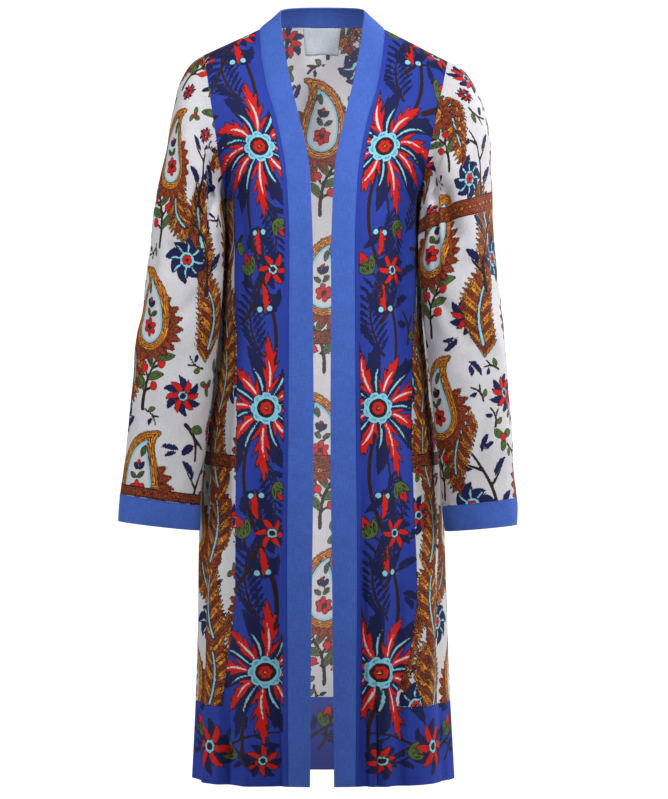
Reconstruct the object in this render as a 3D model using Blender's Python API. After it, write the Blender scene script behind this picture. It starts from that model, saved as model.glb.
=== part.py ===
"""A long open-front kimono robe, filled out as if worn, built as the pieces a maker would cut.

Units are metres. X is across the robe, towards the wearer's left. Y runs from front to back.
Z is up. The origin is midway between the two neck ends of the shoulder seams, where the robe
is held up. Every piece starts as a grid of points in the middle of its cloth. Pieces that are
sewn together share the points of their seam, and the seam is then opened by a small gap.
"""

import math
from collections import namedtuple
from dataclasses import dataclass

import bmesh
import bpy
import numpy as np

# Cloth

PRINTED_THICKNESS = 0.0012
FOLDED_THICKNESS = 0.0020
LABEL_THICKNESS = 0.0010
SEAM_GAP = 0.0003
LABEL_GAP = 0.0006
BAND_LEAD = 4.0

# Levels, with the neck ends of the shoulder seams at zero

HEM_Z = -1.053
ARMPIT_Z = -0.243

# Grid counts

BODY_ROWS = 15
ARMHOLE_ROWS = 10
FRONT_COLUMNS = 12
NECK_COLUMNS = 7
SLEEVE_ROWS = 15
CUFF_ROWS = 2
BAND_COLUMNS = 2
ROW_SAMPLES = 80

# Body rings below the armpit: half width, and how far back the side seam and the centre back are

BodySection = namedtuple("BodySection", "z half_width side_y back_y")
BODY_SECTIONS = (
    BodySection(-1.053, 0.1840, 0.010, 0.112),
    BodySection(-0.945, 0.1790, 0.015, 0.114),
    BodySection(-0.800, 0.1750, 0.022, 0.117),
    BodySection(-0.700, 0.1730, 0.030, 0.116),
    BodySection(-0.600, 0.1680, 0.036, 0.112),
    BodySection(-0.530, 0.1610, 0.038, 0.108),
    BodySection(-0.460, 0.1520, 0.039, 0.106),
    BodySection(-0.370, 0.1440, 0.038, 0.104),
    BodySection(-0.300, 0.1400, 0.032, 0.104),
    BodySection(ARMPIT_Z, 0.1345, 0.004, 0.106),
)
SHOULDER_SLOPE = math.radians(26.5)
FLAT_REACH = 0.62
ROUND_REACH = 0.52
STRAIGHT_REACH = 0.33
LIFT_SPREAD = 0.25

# A row's turn at its end fades out and changes side where the row is less deep than this
TURN_DEPTH = 0.03

# Centre back above the armpit, up to the nape seam

BackPoint = namedtuple("BackPoint", "z y")
CENTRE_BACK = (
    BackPoint(ARMPIT_Z, 0.106),
    BackPoint(-0.180, 0.106),
    BackPoint(-0.110, 0.101),
    BackPoint(-0.050, 0.091),
    BackPoint(0.016, 0.074),
)

# The band from hem to nape: its seam on the cloth and its free edge

BandPoint = namedtuple("BandPoint", "seam_x seam_y seam_z free_x free_y free_z")
BAND = (
    BandPoint(0.0460, -0.118, HEM_Z, 0.0165, -0.122, HEM_Z),
    BandPoint(0.0472, -0.118, -0.900, 0.0155, -0.122, -0.900),
    BandPoint(0.0480, -0.118, -0.740, 0.0135, -0.121, -0.740),
    BandPoint(0.0465, -0.116, -0.570, 0.0118, -0.119, -0.570),
    BandPoint(0.0453, -0.114, -0.400, 0.0125, -0.118, -0.400),
    BandPoint(0.0462, -0.111, -0.260, 0.0140, -0.115, -0.262),
    BandPoint(0.0510, -0.102, -0.190, 0.0190, -0.107, -0.184),
    BandPoint(0.0625, -0.083, -0.130, 0.0320, -0.091, -0.124),
    BandPoint(0.0780, -0.053, -0.074, 0.0460, -0.063, -0.062),
    BandPoint(0.0860, -0.022, -0.020, 0.0560, -0.032, -0.004),
    BandPoint(0.0870, 0.004, 0.006, 0.0590, -0.004, 0.026),
    BandPoint(0.0740, 0.043, 0.011, 0.0545, 0.024, 0.036),
    BandPoint(0.0420, 0.066, 0.015, 0.0330, 0.042, 0.040),
    BandPoint(0.0000, 0.074, 0.016, 0.0000, 0.049, 0.041),
)
NECK_END = 10

# Sleeve rings from the armhole to the cuff seam, and the cuff's own end.
# Each ring is an ellipse from its inner point, next to the body, to its outer point.

SleeveSection = namedtuple("SleeveSection", "outer_x outer_z inner_x inner_z mid_y half_depth")
RIGHT_SLEEVE = (
    SleeveSection(0.1660, -0.031, 0.1345, ARMPIT_Z, 0.004, 0.070),
    SleeveSection(0.1830, -0.043, 0.1360, -0.2455, 0.000, 0.072),
    SleeveSection(0.1975, -0.067, 0.1365, -0.2500, -0.007, 0.074),
    SleeveSection(0.2080, -0.105, 0.1368, -0.2590, -0.015, 0.075),
    SleeveSection(0.2150, -0.148, 0.1366, -0.2720, -0.024, 0.073),
    SleeveSection(0.2260, -0.206, 0.1362, -0.2920, -0.031, 0.068),
    SleeveSection(0.2420, -0.300, 0.1380, -0.3380, -0.038, 0.061),
    SleeveSection(0.2500, -0.374, 0.1425, -0.4000, -0.043, 0.058),
    SleeveSection(0.2620, -0.463, 0.1510, -0.4800, -0.046, 0.054),
    SleeveSection(0.2710, -0.560, 0.1610, -0.5740, -0.049, 0.051),
    SleeveSection(0.2780, -0.615, 0.1680, -0.6280, -0.051, 0.048),
    SleeveSection(0.2820, -0.650, 0.1705, -0.6660, -0.052, 0.047),
)
RIGHT_CUFF_END = SleeveSection(0.2840, -0.688, 0.1715, -0.7010, -0.052, 0.046)
LEFT_SLEEVE = (
    SleeveSection(0.1770, -0.040, 0.1345, ARMPIT_Z, 0.004, 0.070),
    SleeveSection(0.1950, -0.050, 0.1360, -0.2455, 0.000, 0.072),
    SleeveSection(0.2120, -0.069, 0.1363, -0.2500, -0.007, 0.074),
    SleeveSection(0.2265, -0.100, 0.1363, -0.2590, -0.015, 0.075),
    SleeveSection(0.2360, -0.146, 0.1358, -0.2720, -0.024, 0.073),
    SleeveSection(0.2395, -0.206, 0.1350, -0.2920, -0.031, 0.068),
    SleeveSection(0.2420, -0.300, 0.1365, -0.3380, -0.038, 0.061),
    SleeveSection(0.2485, -0.374, 0.1420, -0.4000, -0.043, 0.058),
    SleeveSection(0.2570, -0.463, 0.1500, -0.4750, -0.046, 0.054),
    SleeveSection(0.2645, -0.560, 0.1600, -0.5700, -0.049, 0.051),
    SleeveSection(0.2680, -0.615, 0.1665, -0.6280, -0.051, 0.048),
    SleeveSection(0.2720, -0.655, 0.1690, -0.6670, -0.052, 0.047),
)
LEFT_CUFF_END = SleeveSection(0.2715, -0.693, 0.1730, -0.7020, -0.052, 0.046)

# Folds of the hanging body. The place round a side is 0 at the band seam, 1 at the side seam
# and 2 at the centre back. A fold grows from nothing at top_z and runs on to the hem.
# A height above zero is a ridge and one below zero is a trough.

BodyFold = namedtuple("BodyFold", "side top_z top_place hem_place half_width height")
BODY_FOLDS = (
    BodyFold(-1, -0.36, 0.14, 0.12, 0.012, -0.0030),
    BodyFold(-1, -0.40, 0.30, 0.28, 0.020, 0.0030),
    BodyFold(-1, -0.50, 0.56, 0.60, 0.022, 0.0070),
    BodyFold(-1, -0.50, 0.74, 0.80, 0.016, -0.0080),
    BodyFold(1, -0.45, 0.16, 0.14, 0.012, 0.0030),
    BodyFold(1, -0.45, 0.30, 0.28, 0.016, -0.0030),
    BodyFold(1, -0.55, 0.52, 0.54, 0.024, 0.0040),
    BodyFold(1, -0.55, 0.72, 0.76, 0.018, -0.0060),
    BodyFold(1, -0.62, 0.94, 0.97, 0.022, 0.0030),
    BodyFold(-1, -0.26, 1.22, 1.20, 0.020, -0.0090),
    BodyFold(-1, -0.24, 1.38, 1.36, 0.022, 0.0090),
    BodyFold(-1, -0.30, 1.56, 1.57, 0.020, -0.0080),
    BodyFold(-1, -0.34, 1.72, 1.76, 0.022, 0.0070),
    BodyFold(1, -0.24, 1.20, 1.18, 0.022, -0.0080),
    BodyFold(1, -0.26, 1.35, 1.40, 0.022, 0.0080),
    BodyFold(1, -0.32, 1.60, 1.62, 0.022, -0.0070),
    BodyFold(1, -0.36, 1.78, 1.80, 0.020, 0.0060),
)
PLACE_LENGTH = 0.19
FOLD_GROWTH = 0.30

# Folds of the sleeves. Along runs from the armhole down the outer line, and turn is the angle
# round the sleeve in degrees: 0 under the arm, 90 at the front, 180 outside and 270 at the back.

SleeveFold = namedtuple("SleeveFold", "side start_along start_turn end_along end_turn half_width height")
SLEEVE_FOLDS = (
    SleeveFold(-1, 0.10, 58, 0.24, 84, 0.014, -0.0070),
    SleeveFold(-1, 0.08, 84, 0.26, 106, 0.013, 0.0050),
    SleeveFold(-1, 0.24, 150, 0.42, 82, 0.016, 0.0035),
    SleeveFold(-1, 0.42, 140, 0.60, 105, 0.014, -0.0035),
    SleeveFold(-1, 0.10, 300, 0.34, 250, 0.016, -0.0060),
    SleeveFold(-1, 0.36, 225, 0.52, 285, 0.016, -0.0050),
    SleeveFold(1, 0.09, 62, 0.24, 88, 0.014, -0.0070),
    SleeveFold(1, 0.08, 88, 0.28, 112, 0.013, 0.0050),
    SleeveFold(1, 0.26, 150, 0.46, 84, 0.016, 0.0035),
    SleeveFold(1, 0.44, 126, 0.62, 84, 0.014, -0.0035),
    SleeveFold(1, 0.11, 304, 0.32, 244, 0.016, -0.0060),
    SleeveFold(1, 0.34, 235, 0.50, 290, 0.016, -0.0050),
)
SLEEVE_ROUND = 0.32
SLEEVE_END_FADE = 0.07

# The label, hung from the nape seam inside the back, in steps of the back's own grid

LABEL_COLUMNS = (-1.55, -0.8, 0.0, 0.8, 1.55)
LABEL_ROWS = (1.45, 0.75, 0.04)

# Colours and surfaces

Finish = namedtuple("Finish", "colour roughness")
PRINTED = Finish((0.42, 0.40, 0.45, 1.0), 0.75)
COBALT_PRINTED = Finish((0.035, 0.065, 0.36, 1.0), 0.75)
BAND_BLUE = Finish((0.075, 0.155, 0.55, 1.0), 0.80)
LABEL_WHITE = Finish((0.50, 0.52, 0.55, 1.0), 0.85)

RIGHT = -1
LEFT = 1
BODY_NAMES = ("front_right", "front_left", "back")


@dataclass
class Piece:
    """One cut piece: the points in the middle of its cloth, row by row, and how it is made up."""

    points: np.ndarray
    thickness: float
    tube: bool
    seams: tuple
    normals: np.ndarray = None


def smooth_through(keys, values, at):
    """Values at the given keys, on a smooth curve through a table's rows."""
    keys = np.asarray(keys, float)
    values = np.asarray(values, float)
    slopes = np.gradient(values, keys, axis=0)
    index = np.clip(np.searchsorted(keys, at, side="right") - 1, 0, len(keys) - 2)
    step = (keys[index + 1] - keys[index])[:, None]
    share = (np.asarray(at) - keys[index])[:, None] / step
    rise = values[index + 1] - values[index]
    start = slopes[index] * step
    end = slopes[index + 1] * step
    turn = 3 * rise - 2 * start - end
    twist = start + end - 2 * rise
    return values[index] + share * (start + share * (turn + share * twist))


def ease(share):
    """A smooth step from 0 to 1."""
    share = np.clip(share, 0.0, 1.0)
    return share * share * (3.0 - 2.0 * share)


def path_length(points):
    """Distance along a line of points, from its first point."""
    return np.concatenate([[0.0], np.cumsum(np.linalg.norm(np.diff(points, axis=0), axis=1))])


def unit(vectors):
    """Vectors of length one."""
    return vectors / np.maximum(np.linalg.norm(vectors, axis=-1, keepdims=True), 1e-12)


# The band's two edges, which the fronts and the back neck follow


def band_edges(at):
    """Seam points and free points of the band, at distances along its seam from the hem."""
    table = np.array(BAND)
    keys = path_length(table[:, :3])
    both = smooth_through(keys, table, np.asarray(at, float))
    return both[:, :3], both[:, 3:]


def band_stations():
    """Distances along the band's seam of each body row, each armhole row and each neck column."""
    keys = path_length(np.array(BAND)[:, :3])
    dense = np.linspace(0.0, keys[NECK_END], 2000)
    seam, _ = band_edges(dense)
    levels = np.linspace(HEM_Z, ARMPIT_Z, BODY_ROWS + 1)
    lower = np.interp(levels, seam[:, 2], dense)
    lower[0] = 0.0
    upper = np.linspace(lower[-1], keys[NECK_END], ARMHOLE_ROWS + 1)[1:]
    neck = np.linspace(keys[NECK_END], keys[-1], NECK_COLUMNS + 1)[1:]
    return lower, upper, neck


# Rows of the body panels


def softened(shift, along, spread):
    """Shifts along a row, averaged over a spread of its length, with none at its two ends."""
    if spread < 1e-6:
        return shift
    near = np.exp(-0.5 * ((along[:, None] - along[None, :]) / spread) ** 2) * np.gradient(along)
    soft = near @ shift / near.sum(axis=1, keepdims=True)
    return soft - soft[0] * (1 - along[:, None]) - soft[-1] * along[:, None]


def bent_row(start, end, start_way, end_way, start_reach, end_reach, shares):
    """Evenly spaced points on a curve that leaves start and reaches end in the given ways."""
    share = np.linspace(0.0, 1.0, ROW_SAMPLES)[:, None]
    first = start + start_way * start_reach
    last = end - end_way * end_reach
    rest = 1.0 - share
    curve = rest**3 * start + 3 * rest**2 * share * first + 3 * rest * share**2 * last + share**3 * end
    length = path_length(curve)
    return np.stack([np.interp(shares * length[-1], length, curve[:, k]) for k in range(3)], axis=1)


def panel_row(start, end, climb, shares):
    """One row of a half panel, from its inner edge to its side seam or armhole.

    Climb is 0 at the armpit and below, where the row turns to meet the side seam squarely, and 1
    at the shoulder seam, where the row is nearly straight.
    """
    across = end[0] - start[0]
    depth = end[1] - start[1]
    towards_side = max(-1.0, min(1.0, depth / TURN_DEPTH))
    straight = float(ease(climb))
    turn = math.radians(90.0) * (1.0 - straight)
    slope = SHOULDER_SLOPE * climb
    start_way = np.array([math.cos(slope), 0.0, -math.sin(slope)])
    end_way = np.array(
        [math.cos(turn) * math.cos(slope), math.sin(turn) * towards_side, -math.cos(turn) * math.sin(slope)]
    )
    chord = np.linalg.norm(end - start)
    start_reach = FLAT_REACH * across * (1.0 - straight) + STRAIGHT_REACH * chord * straight
    end_reach = ROUND_REACH * abs(depth) * (1.0 - straight) + STRAIGHT_REACH * chord * straight
    return bent_row(start, end, start_way, end_way, start_reach, end_reach, shares)


def sleeve_table(side):
    """The table of a sleeve's rings."""
    return LEFT_SLEEVE if side == LEFT else RIGHT_SLEEVE


def ellipse_ring(section, turns):
    """Points of one sleeve ring at the given angles, starting under the arm and going by the front."""
    outer = np.array([section.outer_x, section.mid_y, section.outer_z])
    inner = np.array([section.inner_x, section.mid_y, section.inner_z])
    middle = (outer + inner) / 2
    half = (outer - inner) / 2
    turns = np.asarray(turns)[:, None]
    depth = np.array([0.0, -section.half_depth, 0.0])
    return middle - half * np.cos(turns) + depth * np.sin(turns)


def armhole_edge(side, backwards):
    """Armhole points of a body panel from armpit to shoulder tip, on the front or on the back."""
    turns = np.linspace(0.0, math.pi, ARMHOLE_ROWS + 1)
    return ellipse_ring(sleeve_table(side)[0], -turns if backwards else turns)


def body_levels():
    """Half width, depth of the side seam and depth of the centre back at each body row's level."""
    lower, _, _ = band_stations()
    seam, _ = band_edges(lower)
    table = np.array(BODY_SECTIONS)
    return seam, smooth_through(table[:, 0], table[:, 1:], seam[:, 2])


def half_front(side):
    """Grid of a front panel from the band seam to the side, drawn on the wearer's left."""
    shares = np.linspace(0.0, 1.0, FRONT_COLUMNS + 1)
    seam, sizes = body_levels()
    rows = []
    for start, (half_width, side_y, _) in zip(seam, sizes):
        rows.append(panel_row(start, np.array([half_width, side_y, start[2]]), 0.0, shares))
    _, upper, _ = band_stations()
    above, _ = band_edges(upper)
    edge = armhole_edge(side, backwards=False)
    rows[-1] = panel_row(seam[-1], edge[0], 0.0, shares)
    for step in range(1, ARMHOLE_ROWS + 1):
        rows.append(panel_row(above[step - 1], edge[step], step / ARMHOLE_ROWS, shares))
    return np.array(rows)


def half_back(side):
    """Grid of half of the back from the centre back to the side, drawn on the wearer's left."""
    columns = NECK_COLUMNS + FRONT_COLUMNS
    even = np.linspace(0.0, 1.0, columns + 1)
    seam, sizes = body_levels()
    rows = []
    for level, (half_width, side_y, back_y) in zip(seam[:, 2], sizes):
        centre = np.array([0.0, back_y, level])
        rows.append(panel_row(centre, np.array([half_width, side_y, level]), 0.0, even))
    edge = armhole_edge(side, backwards=True)
    rows[-1] = panel_row(rows[-1][0], edge[0], 0.0, even)
    centre = np.array([[0.0, point.y, point.z] for point in CENTRE_BACK])
    along = path_length(centre)
    middle = smooth_through(along, centre, np.linspace(0.0, along[-1], ARMHOLE_ROWS + 1))
    _, _, neck = band_stations()
    nape, _ = band_edges(neck)
    top = np.concatenate([nape[::-1], half_front(side)[-1]])
    along = path_length(top)
    fitted = along / along[-1]
    lift = top - panel_row(middle[-1], edge[-1], 1.0, fitted)
    for step in range(1, ARMHOLE_ROWS + 1):
        climb = step / ARMHOLE_ROWS
        row = panel_row(middle[step], edge[step], climb, even * (1 - climb) + fitted * climb)
        rows.append(row + climb**3 * softened(lift, fitted, LIFT_SPREAD * (1 - climb)))
    rows[-1] = top
    return np.array(rows)


def mirrored(points):
    """The same points on the other side of the robe."""
    return points * np.array([-1.0, 1.0, 1.0])


# Heights of the folds


def body_heights(side, places, levels):
    """Height of the body folds at each place round one side and each level."""
    total = np.zeros(places.shape)
    for fold in BODY_FOLDS:
        if fold.side != side:
            continue
        down = np.clip((fold.top_z - levels) / (fold.top_z - HEM_Z), 0.0, 1.0)
        centre = fold.top_place + (fold.hem_place - fold.top_place) * down
        off = (places - centre) * PLACE_LENGTH / fold.half_width
        grown = ease((fold.top_z - levels) / FOLD_GROWTH)
        total += fold.height * grown * np.exp(-(off**2))
    return total * ease(places / 0.12)


def sleeve_heights(side, turns, along, full_length):
    """Height of the sleeve folds at each angle round a sleeve and each distance down it."""
    total = np.zeros(turns.shape)
    for fold in SLEEVE_FOLDS:
        if fold.side != side:
            continue
        run = fold.end_along - fold.start_along
        swing = math.radians(fold.end_turn - fold.start_turn)
        share = np.clip((along - fold.start_along) / run, 0.0, 1.0)
        gap = turns - math.radians(fold.start_turn) - swing * share
        gap = (gap + math.pi) % (2 * math.pi) - math.pi
        sideways = gap * SLEEVE_ROUND / (2 * math.pi)
        beyond = along - (fold.start_along + run * share)
        total += fold.height * np.exp(-(sideways**2 + beyond**2) / fold.half_width**2)
    return total * ease(along / SLEEVE_END_FADE) * ease((full_length - along) / SLEEVE_END_FADE)


# The pieces as grids


def front_piece(side):
    """A front panel."""
    points = half_front(side)
    points = points if side == LEFT else mirrored(points)
    return Piece(points, PRINTED_THICKNESS, False, ("left", "right", "top"))


def back_piece():
    """The back, cut in one from side seam to side seam."""
    points = np.concatenate([mirrored(half_back(RIGHT)[:, :0:-1]), half_back(LEFT)], axis=1)
    return Piece(points, PRINTED_THICKNESS, False, ("left", "right", "top"))


def sleeve_rings(side):
    """Sections of one sleeve at evenly spaced distances down its outer line, and those distances."""
    table = np.array(sleeve_table(side))
    outer = table[:, [0, 4, 1]]
    keys = path_length(outer)
    along = np.linspace(0.0, keys[-1], SLEEVE_ROWS + 1)
    return [SleeveSection(*row) for row in smooth_through(keys, table, along)], along


def ring_turns():
    """Angles of a ring's points, the same as the armhole points of the front and the back."""
    return np.arange(2 * ARMHOLE_ROWS) * math.pi / ARMHOLE_ROWS


def sleeve_piece(side):
    """A sleeve, a tube from the armhole to the cuff seam."""
    rings, _ = sleeve_rings(side)
    points = np.array([ellipse_ring(ring, ring_turns()) for ring in rings])
    points = points if side == LEFT else mirrored(points)
    return Piece(points, PRINTED_THICKNESS, True, ("top", "bottom"))


def cuff_piece(side):
    """A cuff, a short tube below the sleeve."""
    start = sleeve_table(side)[-1]
    end = LEFT_CUFF_END if side == LEFT else RIGHT_CUFF_END
    shares = np.linspace(0.0, 1.0, CUFF_ROWS + 1)
    rings = [SleeveSection(*(np.array(start) * (1 - share) + np.array(end) * share)) for share in shares]
    points = np.array([ellipse_ring(ring, ring_turns()) for ring in rings])
    points = points if side == LEFT else mirrored(points)
    return Piece(points, FOLDED_THICKNESS, True, ("bottom",))


def band_piece():
    """The band, one strip from hem to hem round the back of the neck."""
    lower, upper, neck = band_stations()
    seam, free = band_edges(np.concatenate([lower, upper, neck]))
    shares = np.linspace(0.0, 1.0, BAND_COLUMNS + 1)[None, :, None]
    half = seam[:, None] * (1 - shares) + free[:, None] * shares
    half[:, :, 0] = np.where(np.abs(half[:, :, 0]) < 1e-6, 0.0, half[:, :, 0])
    points = np.concatenate([half, mirrored(half[-2::-1])])
    return Piece(points, FOLDED_THICKNESS, False, ("left",))


# Seams


def grid_normals(piece):
    """Directions out of the cloth at each point, worked out from its neighbours."""
    points = piece.points
    if piece.tube:
        round_it = np.concatenate([points[:, -1:], points, points[:, :1]], axis=1)
        across = np.gradient(round_it, axis=1)[:, 1:-1]
    else:
        across = np.gradient(points, axis=1)
    down = np.gradient(points, axis=0)
    return unit(np.cross(across, down))


def face_outwards(piece, axis_point):
    """Turns a piece's directions so that most of them point away from an axis point."""
    away = piece.points - axis_point
    if np.sum(piece.normals * away) < 0:
        piece.normals = -piece.normals


def edge_of(piece, name):
    """Index of one edge's points in a piece's grid, and the index of the points next to it."""
    everything = slice(None)
    return {
        "left": ((everything, 0), (everything, 1)),
        "right": ((everything, -1), (everything, -2)),
        "bottom": ((0, everything), (1, everything)),
        "top": ((-1, everything), (-2, everything)),
    }[name]


def share_normals(pieces):
    """Gives the pieces that meet at a spot of a seam one direction between them.

    It is halfway between the body and a sleeve, and close to the band's own along the band.
    """
    found = {}
    for name, piece in pieces.items():
        cloth = "body" if name in BODY_NAMES else name
        for edge in piece.seams:
            index, _ = edge_of(piece, edge)
            for spot, normal in zip(piece.points[index], piece.normals[index]):
                sheets = found.setdefault(tuple(np.round(spot, 5)), {})
                sheets[cloth] = sheets.get(cloth, 0.0) + normal
    for sheets in found.values():
        for cloth, total in sheets.items():
            sheets[cloth] = unit(total) * (BAND_LEAD if cloth == "neck_band" else 1.0)
    halfway = {spot: unit(sum(sheets.values())) for spot, sheets in found.items()}
    for piece in pieces.values():
        for edge in piece.seams:
            index, _ = edge_of(piece, edge)
            piece.normals[index] = [halfway[tuple(np.round(spot, 5))] for spot in piece.points[index]]


def open_seams(pieces):
    """Draws each sewn edge back into its own cloth by half of the seam gap."""
    for piece in pieces.values():
        moved = piece.points.copy()
        for edge in piece.seams:
            index, inside = edge_of(piece, edge)
            line = piece.points[index]
            if piece.tube:
                along_seam = np.roll(line, -1, axis=0) - np.roll(line, 1, axis=0)
            else:
                along_seam = np.gradient(line, axis=0)
            inwards = unit(np.cross(piece.normals[index], along_seam))
            side = np.sign(np.sum(inwards * (piece.points[inside] - line), axis=-1, keepdims=True))
            moved[index] += inwards * side * SEAM_GAP / 2
        piece.points = moved


# Solids


def material_of(name, finish):
    """A cloth material."""
    material = bpy.data.materials.new(name)
    material.use_nodes = True
    shader = material.node_tree.nodes["Principled BSDF"]
    shader.inputs["Base Color"].default_value = finish.colour
    shader.inputs["Roughness"].default_value = finish.roughness
    shader.inputs["Metallic"].default_value = 0.0
    return material


def add_layer(mesh, points, tube):
    """One face of the cloth as quads over a grid of points, and the vertices of its grid."""
    rows, columns = points.shape[:2]
    grid = [[mesh.verts.new(points[row, column]) for column in range(columns)] for row in range(rows)]
    span = columns if tube else columns - 1
    for row in range(rows - 1):
        for column in range(span):
            beside = (column + 1) % columns
            corners = (
                grid[row][column],
                grid[row][beside],
                grid[row + 1][beside],
                grid[row + 1][column],
            )
            mesh.faces.new(corners)
    return grid


def outline_of(grid, tube):
    """The loops of vertices round a grid's free edges."""
    if tube:
        return [grid[0], grid[-1]]
    right = [row[-1] for row in grid[1:-1]]
    left = [row[0] for row in grid[-2:0:-1]]
    return [grid[0] + right + grid[-1][::-1] + left]


def add_rim(mesh, outside, next_outside, inside, next_inside):
    """A stretch of rim, split the same way on both sides of a seam: from low outside to high inside."""
    if outside.co.z < next_outside.co.z:
        mesh.faces.new((outside, next_outside, next_inside))
        mesh.faces.new((outside, next_inside, inside))
    else:
        mesh.faces.new((outside, next_outside, inside))
        mesh.faces.new((next_outside, next_inside, inside))


def wall(name, piece, material):
    """A closed wall of cloth as an object, with its outer and inner faces and its rims."""
    mesh = bmesh.new()
    lift = piece.normals * piece.thickness / 2
    outer = add_layer(mesh, piece.points + lift, piece.tube)
    inner = add_layer(mesh, piece.points - lift, piece.tube)
    for outside, inside in zip(outline_of(outer, piece.tube), outline_of(inner, piece.tube)):
        for here in range(len(outside)):
            after = (here + 1) % len(outside)
            add_rim(mesh, outside[here], outside[after], inside[here], inside[after])
    bmesh.ops.recalc_face_normals(mesh, faces=mesh.faces)
    data = bpy.data.meshes.new(name)
    mesh.to_mesh(data)
    mesh.free()
    data.materials.append(material)
    data.shade_smooth()
    data.set_sharp_from_angle(angle=math.radians(50))
    made = bpy.data.objects.new(name, data)
    bpy.context.scene.collection.objects.link(made)
    return made


def sampled(grid, rows, columns):
    """Values of a grid at places between its rows and columns."""
    low = np.floor(rows).astype(int)
    share = (rows - low)[:, None, None]
    between = grid[low] * (1 - share) + grid[low + 1] * share
    left = np.floor(columns).astype(int)
    share = (columns - left)[None, :, None]
    return between[:, left] * (1 - share) + between[:, left + 1] * share


def label_piece(back):
    """The label, made from the back's own points by the nape and moved inwards."""
    rows = back.points.shape[0] - 1 - np.array(LABEL_ROWS)
    columns = back.points.shape[1] // 2 + np.array(LABEL_COLUMNS)
    points = sampled(back.points, rows, columns)
    normals = unit(sampled(back.normals, rows, columns))
    inset = (back.thickness + LABEL_THICKNESS) / 2 + LABEL_GAP
    return Piece(points - normals * inset, LABEL_THICKNESS, False, (), normals)


def raise_folds(pieces):
    """Lifts the points of the body panels and sleeves along their directions, by their folds."""
    for side, name in ((RIGHT, "front_right"), (LEFT, "front_left")):
        piece = pieces[name]
        places = np.broadcast_to(np.linspace(0.0, 1.0, FRONT_COLUMNS + 1), piece.points.shape[:2])
        heights = body_heights(side, places, piece.points[:, :, 2])
        piece.points = piece.points + piece.normals * heights[:, :, None]
    back = pieces["back"]
    columns = NECK_COLUMNS + FRONT_COLUMNS
    places = 2.0 - np.abs(np.linspace(-1.0, 1.0, 2 * columns + 1))
    places = np.broadcast_to(places, back.points.shape[:2])
    levels = back.points[:, :, 2]
    heights = np.where(
        np.arange(2 * columns + 1) < columns,
        body_heights(RIGHT, places, levels),
        body_heights(LEFT, places, levels),
    )
    back.points = back.points + back.normals * heights[:, :, None]
    for side, name in ((RIGHT, "sleeve_right"), (LEFT, "sleeve_left")):
        piece = pieces[name]
        _, along = sleeve_rings(side)
        turns, downs = np.meshgrid(ring_turns(), along)
        heights = sleeve_heights(side, turns, downs, along[-1])
        piece.points = piece.points + piece.normals * heights[:, :, None]


def find_normals(pieces):
    """Works out every piece's directions, with one common direction along each seam."""
    for name, piece in pieces.items():
        piece.normals = grid_normals(piece)
        axis_point = np.array([0.0, 0.0, -0.02]) if name == "neck_band" else piece.points.mean(axis=(0, 1))
        if name in BODY_NAMES or name == "neck_band":
            axis_point = np.array([0.0, 0.0, piece.points[:, :, 2].mean()])
        face_outwards(piece, axis_point)
    share_normals(pieces)


def build():
    """Makes every piece of the robe."""
    for old in list(bpy.data.objects):
        bpy.data.objects.remove(old)
    pieces = {
        "front_right": front_piece(RIGHT),
        "front_left": front_piece(LEFT),
        "back": back_piece(),
        "sleeve_right": sleeve_piece(RIGHT),
        "sleeve_left": sleeve_piece(LEFT),
        "cuff_right": cuff_piece(RIGHT),
        "cuff_left": cuff_piece(LEFT),
        "neck_band": band_piece(),
    }
    find_normals(pieces)
    raise_folds(pieces)
    find_normals(pieces)
    open_seams(pieces)
    printed = material_of("printed_cloth", PRINTED)
    cobalt = material_of("cobalt_printed_cloth", COBALT_PRINTED)
    blue = material_of("band_cloth", BAND_BLUE)
    white = material_of("label_cloth", LABEL_WHITE)
    cloth_of = {
        "front_right": cobalt,
        "front_left": cobalt,
        "cuff_right": blue,
        "cuff_left": blue,
        "neck_band": blue,
    }
    for name, piece in pieces.items():
        wall(name, piece, cloth_of.get(name, printed))
    wall("neck_label", label_piece(pieces["back"]), white)


build()
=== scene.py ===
"""Dresses the long open robe in fine cloth with folds, a printed pattern and plain blue bands.

Units are metres, in the frame of the CAD model. Each piece of cloth is a fine grid of points in the
middle of the cloth, worked out from the same named sizes as the part's source. The points are then
lifted into folds, and a Solidify modifier gives the cloth its thickness. The printed pattern is
drawn on the flat cloth as distances from the edge of each ink, and the materials turn those
distances into crisp colours.
"""

import logging
import math
from collections.abc import Iterable, Mapping, Sequence
from dataclasses import dataclass, field
from enum import Enum

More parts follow.
